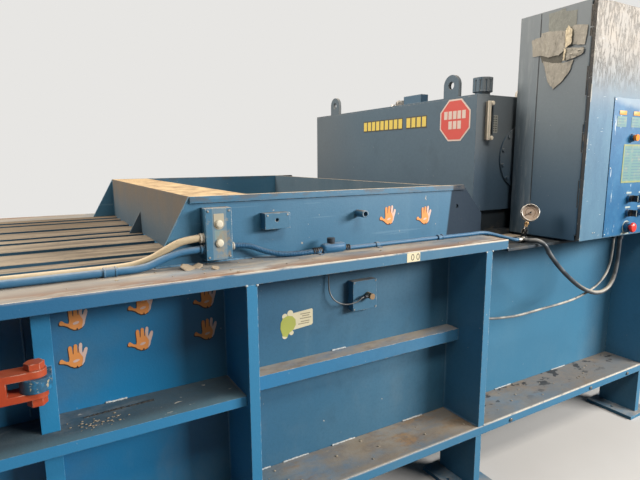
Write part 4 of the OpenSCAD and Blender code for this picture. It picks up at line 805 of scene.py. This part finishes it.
cable_points = [(596, -1030, 830), (640, -1032, 829), (710, -1050, 824), (780, -1075, 825), (858, -1100, 831),
                (1001, -1130, 851), (1110, -1150, 864), (1199, -1165, 880), (1310, -1175, 911),
                (1380, -1180, 945), (1430, -1183, 990), (1456, -1184, 1045), (1465, -1185, 1110),
                (1466, -1186, 1182)]
lead_points = [(16, -975, 1020), (8, -975, 1020), (2, -975, 1020), (-12, -974, 1014), (-30, -970, 1002),
               (-68, -960, 995), (-103, -950, 1003), (-128, -942, 1023), (-141, -935, 1050),
               (-144, -931, 1080), (-144, -930, 1120), (-144, -930, 1160), (-144, -930, 1206)]


def jacket(name, colour, rubbed, grain, low=None):
    """A cord's jacket with a fine grain and pale patches painted as sheen, strongest on top; low is a cream
    highlight painted on its lowest stretch.
    """
    f = Finish(name)
    patches = f.noise(14.0, 4, 0.65).rise(0.40, 0.66)
    up = f.facing()[2].rise(-0.2, 0.9)
    tone = f.mix(colour, rubbed, patches * (0.25 + 0.75 * up))
    if low:
        tone = f.mix(tone, low, f.z.rise(1.02, 0.93) * up * 0.7)
    f.set("Base Color", tone)
    f.set("Roughness", patches * 0.2 + 0.42)
    f.bump(f.noise(grain, 2, 0.5), 0.0006, 0.5)
    return f.material


# the second colour of each jacket is its painted sheen; the hose's low colour is a painted highlight on its
# lowest bend
hose_jacket = jacket("hose_jacket", (0.030, 0.042, 0.056), (0.24, 0.25, 0.255), 120, low=(0.50, 0.45, 0.36))
cable_jacket = jacket("cable_jacket", (0.16, 0.165, 0.165), (0.62, 0.59, 0.52), 120)
lead_jacket = jacket("lead_jacket", (0.11, 0.115, 0.12), (0.50, 0.50, 0.48), 200)

for cord_name, cord_points, cord_radius, cord_finish, cord_slot, how_stiff in (
        ("pressure_hose", hose_points, 0.011, hose_jacket, "black_rubber", "stiff"),
        ("control_cable", cable_points, 0.006, cable_jacket, "grey_jacket", "medium"),
        ("sensor_lead", lead_points, 0.003, lead_jacket, "black_rubber", "medium")):
    cord_route = smooth_route(cord_points, CORD_STEPS)
    cord_piece = line_object(cord_name + "_jacket", [cord_route], cord_radius, cord_finish,
                             sides=4)
    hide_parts(cord_name)
    cord_length = sum((b - a).length for a, b in zip(cord_route, cord_route[1:]))
    2 * cord_radius

for pipe_name, pipe_points, pipe_radius, pipe_finish, pipe_slot in (
        ("tan_conduit", tan_points, 0.013, pipe_dust, "dusty_paint"),
        ("blue_conduit", blue_points, 0.013, pipe_blue, "paint"),
        ("right_conduit", right_points, 0.009, pipe_blue, "paint")):
    pipe = line_object(pipe_name, [smooth_route(pipe_points, CORD_STEPS)], pipe_radius, pipe_finish,
                       sides=4)
    if pipe_name == "tan_conduit":
        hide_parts("conduit_runs")


# Weld beads
def bead(start, end, step=0.004, wander=0.0006):
    """A weld's slightly unsteady run of points."""
    start, end = Vector(start), Vector(end)
    count = max(2, int((end - start).length / step))
    return [start.lerp(end, i / count) + Vector([chance.uniform(-wander, wander) for _ in range(3)])
            for i in range(count + 1)]


def both(run_list):
    """The runs on the near side and the same on the far side."""
    return run_list + [[Vector((p[0], -p[1], p[2])) for p in run] for run in run_list]


def stitches(x_list, length, z):
    """Short welds of one length at the foot of the near wall."""
    return [bead((x, WALL - 0.002, z), (x + length, WALL - 0.002, z)) for x in x_list]


ON_WALL = WALL - 0.001
post_edges = [-0.589, -0.551, 0.551, 0.589]
frame_beads = [bead((x, ON_WALL, RAIL_TOP), (x, ON_WALL, 1.186), 0.006) for x in post_edges]
frame_beads += [bead((x, -1.13, 0.3445), (x, -0.92, 0.3445)) for x in post_edges]
frame_beads += [bead((x, ON_WALL, 0.80), (x, ON_WALL, 1.21)) for x in (-1.237, -1.186)]
frame_beads += [bead((-1.186, -1.02, SHELF_TOP), (-1.186, -0.92, SHELF_TOP))]
line_object("frame_welds", both(frame_beads), 0.0035, weld_paint, 0.25)
pale_beads = stitches([-0.54, -0.36, -0.12, 0.28], 0.12, RAIL_TOP)
pale_beads += stitches([0.66, 0.93, 1.42], 0.13, RAIL_TOP)
pale_beads += stitches([-1.60, -1.10, -0.88], 0.12, RAIL_TOP)
pale_beads += stitches([-1.02, -0.12], 0.07, SHELF_TOP)
line_object("stitch_welds", both(pale_beads), 0.0032, pale_weld, 0.3)
hopper_beads = [bead((-0.703, -0.902, 1.235), (-0.703, -0.902, 1.460)),
                bead((-0.83, ON_WALL, 1.2315), (0.68, ON_WALL, 1.2315), 0.006)]
line_object("hopper_welds", both(hopper_beads), 0.0035, weld_paint, 0.3)


# Hand stickers: outlines of x, z in halves of a hand's height
hand_orange = flat_ink("hand_orange", (0.83, 0.31, 0.080), 0.10)
hand_glare_and_mark = flat_ink("hand_glare_and_mark", (0.72, 0.50, 0.42), 0.1)
hand_shadow = flat_ink("hand_shadow", (0.030, 0.022, 0.018), 0.1)
THUMB = [(-0.40, -0.40), (-0.55, -0.38), (-0.72, -0.26), (-0.86, -0.12), (-0.98, -0.14), (-1.05, -0.28),
         (-1.06, -0.38), (-0.98, -0.46), (-0.75, -0.50), (-0.50, -0.62)]
PALM = [(-0.30, -0.80), (-0.05, -0.95), (0.25, -0.98), (0.55, -0.85), (0.72, -0.60), (0.80, -0.25)]
FINGERS = [(0.92, 0.10), (1.00, 0.40), (0.98, 0.54), (0.86, 0.58), (0.76, 0.48), (0.66, 0.20), (0.60, 0.15),
           (0.60, 0.45), (0.64, 0.78), (0.62, 0.94), (0.52, 1.00), (0.42, 0.92), (0.36, 0.60), (0.32, 0.20),
           (0.28, 0.20), (0.27, 0.50), (0.28, 0.80), (0.22, 0.92), (0.12, 0.95), (0.03, 0.86), (0.00, 0.60),
           (-0.03, 0.16), (-0.08, 0.16), (-0.09, 0.50), (-0.12, 0.78), (-0.22, 0.86), (-0.33, 0.82),
           (-0.38, 0.66), (-0.36, 0.20), (-0.34, -0.20)]
HAND = THUMB + PALM + FINGERS
# painted glare: a pale field over the ring and little fingers and the right edge of the palm; OVAL is a
# printed pale mark
GLARE_FIELD = [(0.50, -0.80)] + PALM[3:] + FINGERS[:13] + [(0.40, 0.25), (0.50, 0.05), (0.62, -0.20), (0.60, -0.50)]
NOTCH = [(0.10, -0.98), (0.14, -0.84), (0.22, -0.86), (0.24, -0.98)]
OVAL = [(0.12 + 0.24 * math.cos(a), -0.42 + 0.11 * math.sin(a) + 0.05 * math.cos(a))
        for a in map(math.radians, range(0, 360, 30))]


def add_field(shape, outline, centre, scale, y, thick):
    """A flat field on an upright wall, with its outline as x, z pairs round a centre."""
    corners = [shape.verts.new((centre[0] + x * scale, y - thick, centre[1] + z * scale)) for x, z in outline]
    front = shape.faces.new(corners)
    pairs = zip(corners, corners[1:] + corners[:1])
    if front.normal.y > 0 or sum(a.co.x * b.co.z - b.co.x * a.co.z for a, b in pairs) < 0:
        bmesh.ops.reverse_faces(shape, faces=[front])
    backs = bmesh.ops.extrude_face_region(shape, geom=[front])["geom"]
    bmesh.ops.translate(shape, verts=[g for g in backs if isinstance(g, bmesh.types.BMVert)],
                        vec=(0, thick, 0))


hands = [(0.172, 1.353, 0.042), (0.382, 1.340, 0.042), (-1.092, 1.099, 0.041), (-1.101, 0.972, 0.041),
         (-0.884, 1.116, 0.041), (-0.892, 0.989, 0.041), (-0.661, 1.104, 0.041), (-0.663, 0.983, 0.041)]
shadow_shape, orange_shape, glare_and_mark_shape = bmesh.new(), bmesh.new(), bmesh.new()
for hx, hz, scale in hands:
    add_field(shadow_shape, HAND, (hx - 0.0020, hz - 0.0026), scale * 1.03, WALL, 0.0005)
    add_field(orange_shape, HAND, (hx, hz), scale, WALL, FULL_FILM)
    for drawn_on, outline in ((glare_and_mark_shape, GLARE_FIELD), (glare_and_mark_shape, OVAL), (shadow_shape, NOTCH)):
        add_field(drawn_on, outline, (hx, hz), scale, WALL - FULL_FILM, THIN_FILM)
put("hand_shadows", shadow_shape, hand_shadow)
put("hand_shapes", orange_shape, hand_orange)
put("hand_glare_and_marks", glare_and_mark_shape, hand_glare_and_mark)


# Bare signs on the tank, as plain fields of colour
sign_dark = flat_ink("sign_dark", (0.075, 0.066, 0.052), 0.1)
sign_yellow = flat_ink("sign_yellow", (0.70, 0.56, 0.13), 0.15)
sign_red = flat_ink("sign_red", (0.60, 0.085, 0.075), 0.08)
sign_pale = flat_ink("sign_pale", (0.66, 0.56, 0.52), 0.1)
bars = [0.172 - 0.0455 * i - (0.03 if i > 8 else 0) for i in range(13)]
shape = bmesh.new()
for left in bars:
    add_block(shape, (TANK - FULL_FILM, left - 0.0375, 1.772), (TANK, left + 0.0035, 1.840))
put("sign_strip", shape, sign_dark)
shape = bmesh.new()
for left in bars:
    add_block(shape, (TANK - 0.0016, left - 0.034, 1.778), (TANK - FULL_FILM, left, 1.834), 0.0002)
put("sign_bars", shape, sign_yellow)
for sign_name, foot, radius, thick, finish in (("octagon_border", TANK, 0.118, FULL_FILM, sign_pale),
                                               ("octagon_field", TANK - FULL_FILM, 0.109, 0.0006, sign_red)):
    shape = bmesh.new()
    add_disc(shape, (foot, -0.660, 1.797), (-1, 0, 0), radius, thick, 8, spin=math.pi / 8)
    put(sign_name, shape, finish)
shape = bmesh.new()
for i in range(8):
    left = -0.582 - 0.0325 * i if i < 5 else -0.616 - 0.0325 * (i - 5)
    low = 1.803 if i < 5 else 1.751
    add_block(shape, (TANK - 0.0021, left - 0.025, low), (TANK - 0.0016, left, low + 0.042), 0.0002)
put("octagon_bars", shape, sign_pale)

# The label in the bay and the number plate on the ledge
label_pale = flat_ink("label_cream", (0.74, 0.67, 0.46), 0.2)
label_green = flat_ink("label_green", (0.44, 0.47, 0.10), 0.25)
ink = flat_ink("number_black", (0.03, 0.028, 0.026), 0.1)
CARD = [(-0.050, -0.034), (-0.048, -0.039), (0.044, -0.030), (0.050, -0.024), (0.050, 0.034), (0.046, 0.039),
        (-0.040, 0.032), (-0.050, 0.024)]
shape = bmesh.new()
add_field(shape, CARD, (-0.262, 0.951), 1.0, WALL, 0.0006)
for lobe_x, lobe_z, lobe_size in ((-0.340, 0.975, 0.012), (-0.316, 0.985, 0.013),
                                  (-0.341, 0.893, 0.012), (-0.312, 0.902, 0.010)):
    add_disc(shape, (lobe_x, WALL, lobe_z), FRONT, lobe_size, 0.0005, 16)
put("label_card", shape, label_pale)
PATCH = [(-0.034, 0.012), (-0.036, -0.014), (-0.026, -0.046), (-0.006, -0.052), (0.002, -0.038),
         (0.022, -0.026), (0.034, -0.006), (0.032, 0.016), (0.018, 0.032), (-0.004, 0.036), (-0.024, 0.028)]
shape = bmesh.new()
add_field(shape, PATCH, (-0.325, 0.940), 1.0, WALL, FULL_FILM)
put("label_field", shape, label_green)
shape = bmesh.new()
for row_x, row_z, row_length in ((-0.270, 0.972, 0.046), (-0.262, 0.963, 0.034), (-0.272, 0.953, 0.052),
                                 (-0.268, 0.940, 0.040), (-0.280, 0.931, 0.050)):
    add_block(shape, (row_x, WALL - 0.0009, row_z), (row_x + row_length, WALL - 0.0006, row_z + 0.0036))
put("label_rows", shape, flat_ink("label_grey", (0.30, 0.26, 0.17), 0.4))
shape = bmesh.new()
add_block(shape, (0.092, LEDGE - 0.0008, 1.189), (0.160, LEDGE, 1.226))
put("number_plate", shape, label_pale)
shape = bmesh.new()
half, inner_half = 0.0082, 0.0054
for centre_x in (0.1210, 0.1485):
    for i in range(24):
        turns = [math.radians(15 * i), math.radians(15 * (i + 1))]
        outer_arc = [(half * math.cos(a), 0.0130 * math.sin(a)) for a in turns]
        inner_arc = [(inner_half * math.cos(a), 0.0098 * math.sin(a)) for a in reversed(turns)]
        add_field(shape, outer_arc + inner_arc, (centre_x, 1.2075), 1.0, LEDGE - 0.0008, 0.0003)
bmesh.ops.remove_doubles(shape, verts=shape.verts, dist=1e-6)
put("number_plate_rings", shape, ink, 40)

# Station box: key-shaped plate, plug faces, cover screws
plate_grey = flat_ink("plate_grey", (0.42, 0.39, 0.30), 0.4)
shape = bmesh.new()
arc = [(0.0185 * math.cos(a), 0.0185 * math.sin(a)) for a in map(math.radians, range(180, 361, 15))]
sides = [(0.0185, 0.036), (0.0165, 0.038), (-0.0165, 0.038), (-0.0185, 0.036)]
add_field(shape, arc + sides, (STATION_X, 1.374), 1.0, STATION_FACE, 0.0012)
put("station_plate", shape, plate_grey, 40)
shape = bmesh.new()
for plug_z in (1.308, 1.376):
    add_disc(shape, (STATION_X, -0.976, plug_z), FRONT, 0.0125, 0.0025, 24, 0.0095, 0.0006)
put("plug_faces", shape, pale_disc, 40)
shape = bmesh.new()
add_screws(shape, (-0.655, -0.579), STATION_FACE, (1.258, 1.421), 0.0045, 0.0024, 0.0035)
add_screws(shape, (-0.030, 0.081), -0.952, (0.963, 1.078), 0.0040, 0.0022, 0.0030)
add_screws(shape, (-0.425, -0.342), -0.958, (1.391,), 0.0040, 0.0022, 0.0030)
put("box_screws", shape, steel, 40)

# Plain bolts on the rail and the door post, and dots of weld at the posts
shape = bmesh.new()
for bx in (-1.20, 0.78, 1.45, 1.82):
    add_disc(shape, (bx, LEDGE, 0.318), FRONT, 0.010, 0.007, 6, edge=0.0012, spin=chance.uniform(0, 1))
for bz in (0.55, 0.72, 1.08):
    add_disc(shape, (-1.765, -1.028, bz), FRONT, 0.013, 0.009, 6, edge=0.0015, spin=chance.uniform(0, 1))
put("frame_bolts", shape, steel, 40)
shape = bmesh.new()
for dot in ((-0.551, -1.1425, 1.184), (0.551, -1.1425, 1.184), (0.688, -1.1415, 1.190),
            (-0.589, -1.1425, 1.186), (-0.551, -1.1425, 0.344), (0.589, -1.1425, 0.344),
            (0.589, -1.1425, 1.186)):
    add_lump(shape, dot, 0.0055, (1, 0.5, 0.8), 2)
put("weld_dots", shape, pale_weld, 60)

# Lumps of dirt left on the ledge and the rails
crumb_finish = worn_paint("dry_dirt", (0.30, 0.25, 0.185), (0.38, 0.32, 0.24), dust=0.4, edge=0.0,
                          dust_colour=(0.40, 0.33, 0.24))


def scatter(shape, count, sizes, draw, along, across, low, stretch):
    """Strews small lumps over a flat top at height low; along and across are what draw is given."""
    for _ in range(count):
        size = chance.uniform(*sizes)
        add_lump(shape, (draw(*along), draw(*across), low + size * 0.3), size, stretch)


shape = bmesh.new()
scatter(shape, 46, (0.0015, 0.0045), chance.uniform, (-1.7, 0.66), (-0.93, -1.13), DECK, (1.4, 1, 0.5))
scatter(shape, 60, (0.002, 0.006), chance.uniform, (-1.7, 1.9), (-0.93, -1.12), 0.343, (1.3, 1, 0.45))
for flake_x, flake_y, flake_size, tilt in ((-0.735, -0.985, 0.030, 0.5), (-0.700, -0.975, 0.020, -0.4),
                                           (-0.655, -1.030, 0.016, 0.3)):
    lean = (tilt * 0.6, -0.35, 1)
    add_disc(shape, (flake_x, flake_y, DECK + 0.004), lean, flake_size, 0.003, 7, flake_size * 0.8)
for vert in shape.verts:
    vert.co += Vector([chance.uniform(-1, 1) for _ in range(3)]) * 0.0012
put("dry_lumps", shape, crumb_finish)

# Black grime along a joint of the left shelf, and sandy crumbs beside it
grime_black = flat_ink("grime_black", (0.012, 0.013, 0.014), 0.2, 0.7)
grime_turns = [(-1.092, -0.983, 0.7862), (-0.983, -0.978, 0.7862), (-0.874, -0.975, 0.7862)]
grime_run = bead(*grime_turns[:2]) + bead(*grime_turns[1:])
line_object("shelf_grime", [grime_run], 0.0034, grime_black, 0.5)
shape = bmesh.new()
scatter(shape, 40, (0.0015, 0.0040), chance.gauss, (-1.052, 0.05), (-1.043, 0.02), 0.786, (1.5, 1, 0.5))
put("shelf_crumbs", shape, crumb_finish)

# Pressure gauge: dial, marks and ring
out = Vector((-0.66859, -0.70711, 0.23021))
dial_up = Vector((0.32557, 0, 0.94552))
dial_right = dial_up.cross(out).normalized()
gauge_back = Vector((0.9354, -1.060, 1.32857))
dial = gauge_back + out * 0.0222
dial_cream = flat_ink("dial_cream", (0.50, 0.40, 0.325), 0.15, 0.3)
dial_brown = flat_ink("dial_brown", (0.20, 0.115, 0.06), 0.1)
shape = bmesh.new()
add_disc(shape, dial, out, 0.0376, 0.0006, 40)
put("dial_face", shape, dial_cream)
shape = bmesh.new()


def dial_mark(shape, angle, inner, outer, width):
    """A mark on the dial, at an angle from its top, between two radii."""
    ray = dial_up * math.cos(angle) + dial_right * math.sin(angle)
    side = ray.cross(out)
    place = Matrix((side, ray, out)).transposed().to_4x4()
    place.translation = dial + out * 0.0007 + ray * (inner + outer) / 2
    bmesh.ops.create_cube(shape, size=1.0, matrix=place @ Matrix.Diagonal((width, outer - inner, 0.0004, 1)))


for i in range(31):
    dial_mark(shape, math.radians(-135 + 9 * i), 0.0290 if i % 5 else 0.0265, 0.0325,
              0.0007 if i % 5 else 0.0013)
for i in range(60):
    dial_mark(shape, math.radians(-135 + 4.6 * i), 0.0215, 0.0235, 0.0020)
for i in range(6):
    dial_mark(shape, math.radians(150 + 12 * i), 0.009, 0.014, 0.0022)
put("dial_marks", shape, dial_brown)
shape = bmesh.new()
add_ring(shape, gauge_back + out * 0.0318, out, 0.0398, 0.0024, 48)
add_ring(shape, gauge_back + out * 0.0040, out, 0.0420, 0.0012, 48)
put("gauge_ring", shape, bright, 60)
shape = bmesh.new()
stem_foot = Vector((0.897, -1.060, REAR_DECK + 0.030))
add_disc(shape, stem_foot + dial_up * 0.048, dial_up, 0.0085, 0.026, 24, 0.0075, 0.0006)
add_disc(shape, stem_foot + dial_up * 0.060, dial_up, 0.0115, 0.009, 6, edge=0.0010)
put("gauge_stem", shape, brass, 40)

# Ribs of the flexible stretch of the right-hand conduit, and of its rise
rib_route = [p for p in smooth_route(right_points, 40) if -0.548 < p.x < -0.215]
shape = bmesh.new()
travelled, last_rib = 0.0, -1.0
for a, b in zip(rib_route, rib_route[1:]):
    travelled += (b - a).length
    if travelled - last_rib > 0.0056:
        add_ring(shape, a, (b - a).normalized(), 0.0092, 0.0019, 12)
        last_rib = travelled
put("conduit_ribs", shape, pipe_blue, 60)
shape = bmesh.new()
for i in range(6):
    add_ring(shape, (-0.160, CONDUIT_Y, 1.2500 + 0.0058 * i), (0, 0, 1), 0.0135, 0.0020, 16)
for i in range(5):
    add_disc(shape, (-0.243 + 0.0085 * i, CONDUIT_Y, 1.2432), (1, 0, 0), 0.0125, 0.0046, 20, edge=0.0008)
for i in range(3):
    add_disc(shape, (-0.094 + 0.0085 * i, CONDUIT_Y, 1.2432), (1, 0, 0), 0.0122, 0.0046, 20, edge=0.0008)
put("riser_ribs", shape, rubber, 60)

shape = bmesh.new()
add_block(shape, (-0.203, -0.996, 1.2305), (-0.096, -0.955, 1.2675), 0.0125)
put("conduit_body_shell", shape, pipe_blue, 60)
shape = bmesh.new()
end_route = smooth_route(right_points, 12)
for share, half in ((0.945, 0.0128), (0.975, 0.0118)):
    at = int(share * (len(end_route) - 1))
    add_disc(shape, end_route[at], (end_route[at + 1] - end_route[at]).normalized(), half, 0.016, 20,
             edge=0.0012)
put("conduit_end_rings", shape, bright, 40)

# Oil tank: bright elbow with its nuts on the lid, level gauge and the plate beside it
shape = bmesh.new()
add_disc(shape, (0.900, -0.025, 1.9095), (0, 0, 1), 0.0150, 0.0300, 20, edge=0.0010)
add_disc(shape, (0.900, -0.025, 1.9095), (0, 0, 1), 0.0210, 0.0100, 6, edge=0.0012)
add_disc(shape, (0.900, -0.122, 1.9420), (0.1, 1, 0), 0.0160, 0.0620, 20, edge=0.0012)
add_disc(shape, (0.900, -0.090, 1.9420), (0.1, 1, 0), 0.0200, 0.0140, 6, edge=0.0012)
put("lid_elbow", shape, bright, 40)
sight_cream = flat_ink("sight_cream", (0.78, 0.70, 0.56), 0.1, 0.35)
small_plate = flat_ink("small_plate", (0.36, 0.365, 0.33), 0.3)
small_rows = flat_ink("small_rows", (0.090, 0.100, 0.100), 0.1)
shape = bmesh.new()
add_block(shape, (0.866, -0.8325, 1.689), (0.890, -0.830, 1.885), 0.0010)
for knob_z in (1.7000, 1.8740):
    add_disc(shape, (0.899, -0.8300, knob_z), FRONT, 0.0125, 0.0080, 20, 0.0100, 0.0010)
put("sight_strip", shape, sight_cream, 40)
shape = bmesh.new()
add_block(shape, (0.909, -0.8092, 1.727), (0.969, -0.808, 1.817), 0.0003)
put("tank_plate", shape, small_plate)
shape = bmesh.new()
for i in range(7):
    row_z = 1.7345 + 0.0118 * i
    for column in range(3):
        left = 0.914 + 0.018 * column
        add_block(shape, (left, -0.8096, row_z),
                  (left + chance.uniform(0.010, 0.014), -0.8092, row_z + 0.0055))
put("tank_plate_rows", shape, small_rows)


# Crumpled tape on the cabinet's left face
def tape_finish(name, colour, shade, shine):
    f = Finish(name)
    folds = f.noise(22.0, 6, 0.72, (1, 1.3, 0.8), shift=3.0)
    # painted light and shade: each tape is lighter on its fold crests and darker in its hollows, shade being
    # that darker colour
    f.set("Base Color", f.mix(f.mix(colour, tuple(c * 1.35 for c in colour), folds.rise(0.52, 0.66)), shade,
                              folds.rise(0.47, 0.33) * 0.8))
    f.set("Roughness", folds * 0.3 + shine)
    f.bump(folds, 0.0040, 0.9)
    return f.material


TAPE_SHIFT = 0.0012
TAPE_THICKNESS = 0.0005
tape_grey = tape_finish("tape_grey", (0.275, 0.270, 0.240), (0.145, 0.145, 0.132), 0.30)
tape_thin = tape_finish("tape_thin", (0.185, 0.205, 0.195), (0.14, 0.16, 0.155), 0.42)
tape_fold_highlight = tape_finish("tape_fold_highlight", (0.62, 0.56, 0.42), (0.25, 0.23, 0.18), 0.25)


def crumpled(shape, corners, lift, crease):
    """A creased sheet with corners of y, z in mm, lifted a little from the cabinet's left face."""
    base = CABINET - FULL_FILM - lift
    outline = [shape.verts.new((base, y / 1000, z / 1000)) for y, z in corners]
    start = shape.faces.new(outline)
    cut = bmesh.ops.triangulate(shape, faces=[start])["faces"]
    for _ in range(3):
        edges = each_once(e for face in cut for e in face.edges)
        cut = [g for g in bmesh.ops.subdivide_edges(shape, edges=edges, cuts=1, use_grid_fill=True)["geom"]
               if isinstance(g, bmesh.types.BMFace)]
        for vert in each_once(v for face in cut for v in face.verts):
            if vert not in outline:
                vert.co.x = base - abs(chance.gauss(0, crease))
                vert.co.y += chance.uniform(-TAPE_SHIFT, TAPE_SHIFT)
                vert.co.z += chance.uniform(-TAPE_SHIFT, TAPE_SHIFT)
        crease = crease * 0.75


def tape_piece(name, finish, pieces):
    """Crumpled sheets of one kind of tape, with their thickness."""
    shape = bmesh.new()
    for corners, lift, crease in pieces:
        crumpled(shape, corners, lift, crease)
    backs = bmesh.ops.extrude_face_region(shape, geom=shape.faces[:], use_keep_orig=True)["geom"]
    bmesh.ops.translate(shape, verts=[g for g in backs if isinstance(g, bmesh.types.BMVert)],
                        vec=(TAPE_THICKNESS, 0, 0))
    put(name, shape, finish, 25)


tape_piece("tape_upper", tape_thin, [
    ([(-1000, 2286), (-1052, 2288), (-1084, 2294), (-1089, 2275), (-1147, 2270), (-1144, 2190),
      (-1003, 2190)],
     0.0002, 0.0006)])
tape_piece("tape_main", tape_grey, [
    ([(-910, 2179), (-975, 2189), (-985, 2094), (-922, 2097)], 0.0012, 0.0008),
    ([(-966, 2204), (-1060, 2196), (-1103, 2185), (-1106, 2106), (-1069, 2084), (-1011, 2080), (-964, 2099)],
     0.0035, 0.0026),
    ([(-1143, 2205), (-1203, 2192), (-1202, 2157), (-1196, 2108), (-1100, 2125), (-1098, 2190)],
     0.0022, 0.0014),
    ([(-1100, 2110), (-1195, 2096), (-1194, 2071), (-1145, 2055), (-1098, 2052)], 0.0050, 0.0030),
    ([(-984, 2068), (-1040, 2050), (-1092, 2042), (-1146, 2050), (-1128, 1998), (-1096, 1958),
      (-1048, 1930), (-1018, 1962), (-1004, 2006)], 0.0030, 0.0018)])
# painted highlight: the lifted fold is given a bright cream tape
tape_piece("tape_fold", tape_fold_highlight, [
    ([(-1100, 2180), (-1114, 2207), (-1134, 2182), (-1131, 2122), (-1104, 2104)], 0.0110, 0.0030),
    ([(-1098, 2108), (-1108, 2101), (-1104, 2055), (-1094, 2054)], 0.0105, 0.0015)])
# painted shade: a dark sheet under the gap between the main pieces
tape_piece("tape_gap", tape_finish("tape_gap_shade", (0.075, 0.077, 0.066), (0.045, 0.046, 0.040), 0.45), [
    ([(-961, 2098), (-1011, 2100), (-1098, 2108), (-1104, 2066), (-1072, 2040), (-1037, 2044), (-975, 2062)],
     0.0002, 0.0004)])

# The cabinet's seam, and the tags and bare plates on its control plate
seam_dark = flat_ink("seam_dark", (0.018, 0.026, 0.036), 0.1)
shape = bmesh.new()
add_block(shape, (CABINET - 0.0006, -0.9595, 1.380), (CABINET, -0.9565, 2.268))
put("cabinet_seam", shape, seam_dark)

tag_orange = flat_ink("tag_orange", (0.66, 0.32, 0.060), 0.2)
plate_green = flat_ink("plate_green", (0.125, 0.255, 0.250), 0.6)
plate_line = flat_ink("plate_line", (0.25, 0.30, 0.13), 0.5)
plate_row = flat_ink("plate_row", (0.085, 0.185, 0.245), 0.3)
pale_mark = flat_ink("pale_mark", (0.40, 0.47, 0.44), 0.3)
shape = bmesh.new()
for left in (1.313, 1.436, 1.559):
    add_block(shape, (left, PLATE - 0.0022, 1.801), (left + 0.061, PLATE, 1.821), 0.0010)
put("orange_tags", shape, tag_orange, 40, body="cabinet_leaf")
shape = bmesh.new()
for left in (1.300, 1.424, 1.548):
    add_block(shape, (left, PLATE_FILM, 1.744), (left + 0.080, PLATE, 1.794), 0.0003)
add_block(shape, (1.380, PLATE_FILM, 1.474), (1.660, PLATE, 1.657), 0.0003)
put("green_plates", shape, plate_green, body="cabinet_leaf")
shape = bmesh.new()
for low, high in (((1.376, 1.470), (1.664, 1.479)), ((1.376, 1.652), (1.664, 1.661)),
                  ((1.376, 1.479), (1.385, 1.652)), ((1.655, 1.479), (1.664, 1.652))):
    add_block(shape, (low[0], PLATE - 0.0014, low[1]), (high[0], PLATE_FILM, high[1]))
put("green_plate_frame", shape, plate_line, body="cabinet_leaf")


def add_row(shape, left, low, lengths, height):
    """A plain row in place of printed words on the control plate."""
    add_block(shape, (left, PLATE - 0.0013, low), (left + chance.uniform(*lengths), PLATE_FILM, low + height))


shape = bmesh.new()
for i in range(11):
    row_z = 1.490 + 0.0145 * i
    add_row(shape, 1.395, row_z, (0.035, 0.050), 0.004)
    add_row(shape, 1.460, row_z, (0.13, 0.18), 0.004)
for left in (1.306, 1.430, 1.554):
    for i in range(3):
        add_row(shape, left, 1.751 + 0.014 * i, (0.045, 0.066), 0.005)
put("green_plate_rows", shape, plate_row, body="cabinet_leaf")
shape = bmesh.new()
for column in (LEFT_COLUMN, RIGHT_COLUMN):
    for row in (UPPER_ROW, LOWER_ROW):
        add_block(shape, (column - 0.024, PLATE_FILM, row + 0.024), (column + 0.022, PLATE, row + 0.033),
                  0.0003)
add_block(shape, (1.424, PLATE_FILM, 1.205), (1.496, PLATE, 1.2155), 0.0003)
add_disc(shape, (LEFT_COLUMN, PLATE, 1.243), FRONT, 0.0335, 0.0010, 32)
put("control_labels", shape, pale_mark, body="cabinet_leaf")
for mark_name, low, knob in (("selector_mark_upper", 1.3765, "selector_a"),
                             ("selector_mark_lower", 1.3025, "selector_b")):
    shape = bmesh.new()
    add_block(shape, (1.4605, PLATE - 0.0470, low), (1.4635, PLATE - 0.0460, low + 0.0270))
    put(mark_name, shape, pale_mark, body=knob)
lamp_pale = plastic("pilot_lens", (0.60, 0.55, 0.42), 0.2, 0.1)
shape = bmesh.new()
for row in (1.693, UPPER_ROW, LOWER_ROW):
    add_disc(shape, (RIGHT_COLUMN, PLATE - 0.021, row), FRONT, 0.0135, 0.006, 28, 0.0095, 0.0012)
put("pilot_lenses", shape, lamp_pale, 60, body="cabinet_leaf")
shape = bmesh.new()
add_screws(shape, (1.176, 1.190), DOOR, (1.233,), 0.0035, 0.0016, 0.0028)
add_screws(shape, (1.275, 1.675), PLATE, (1.216, 1.545, 1.871), 0.0042, 0.0020, 0.0032)
put("cabinet_screws", shape, bright, 40, body="cabinet_leaf")
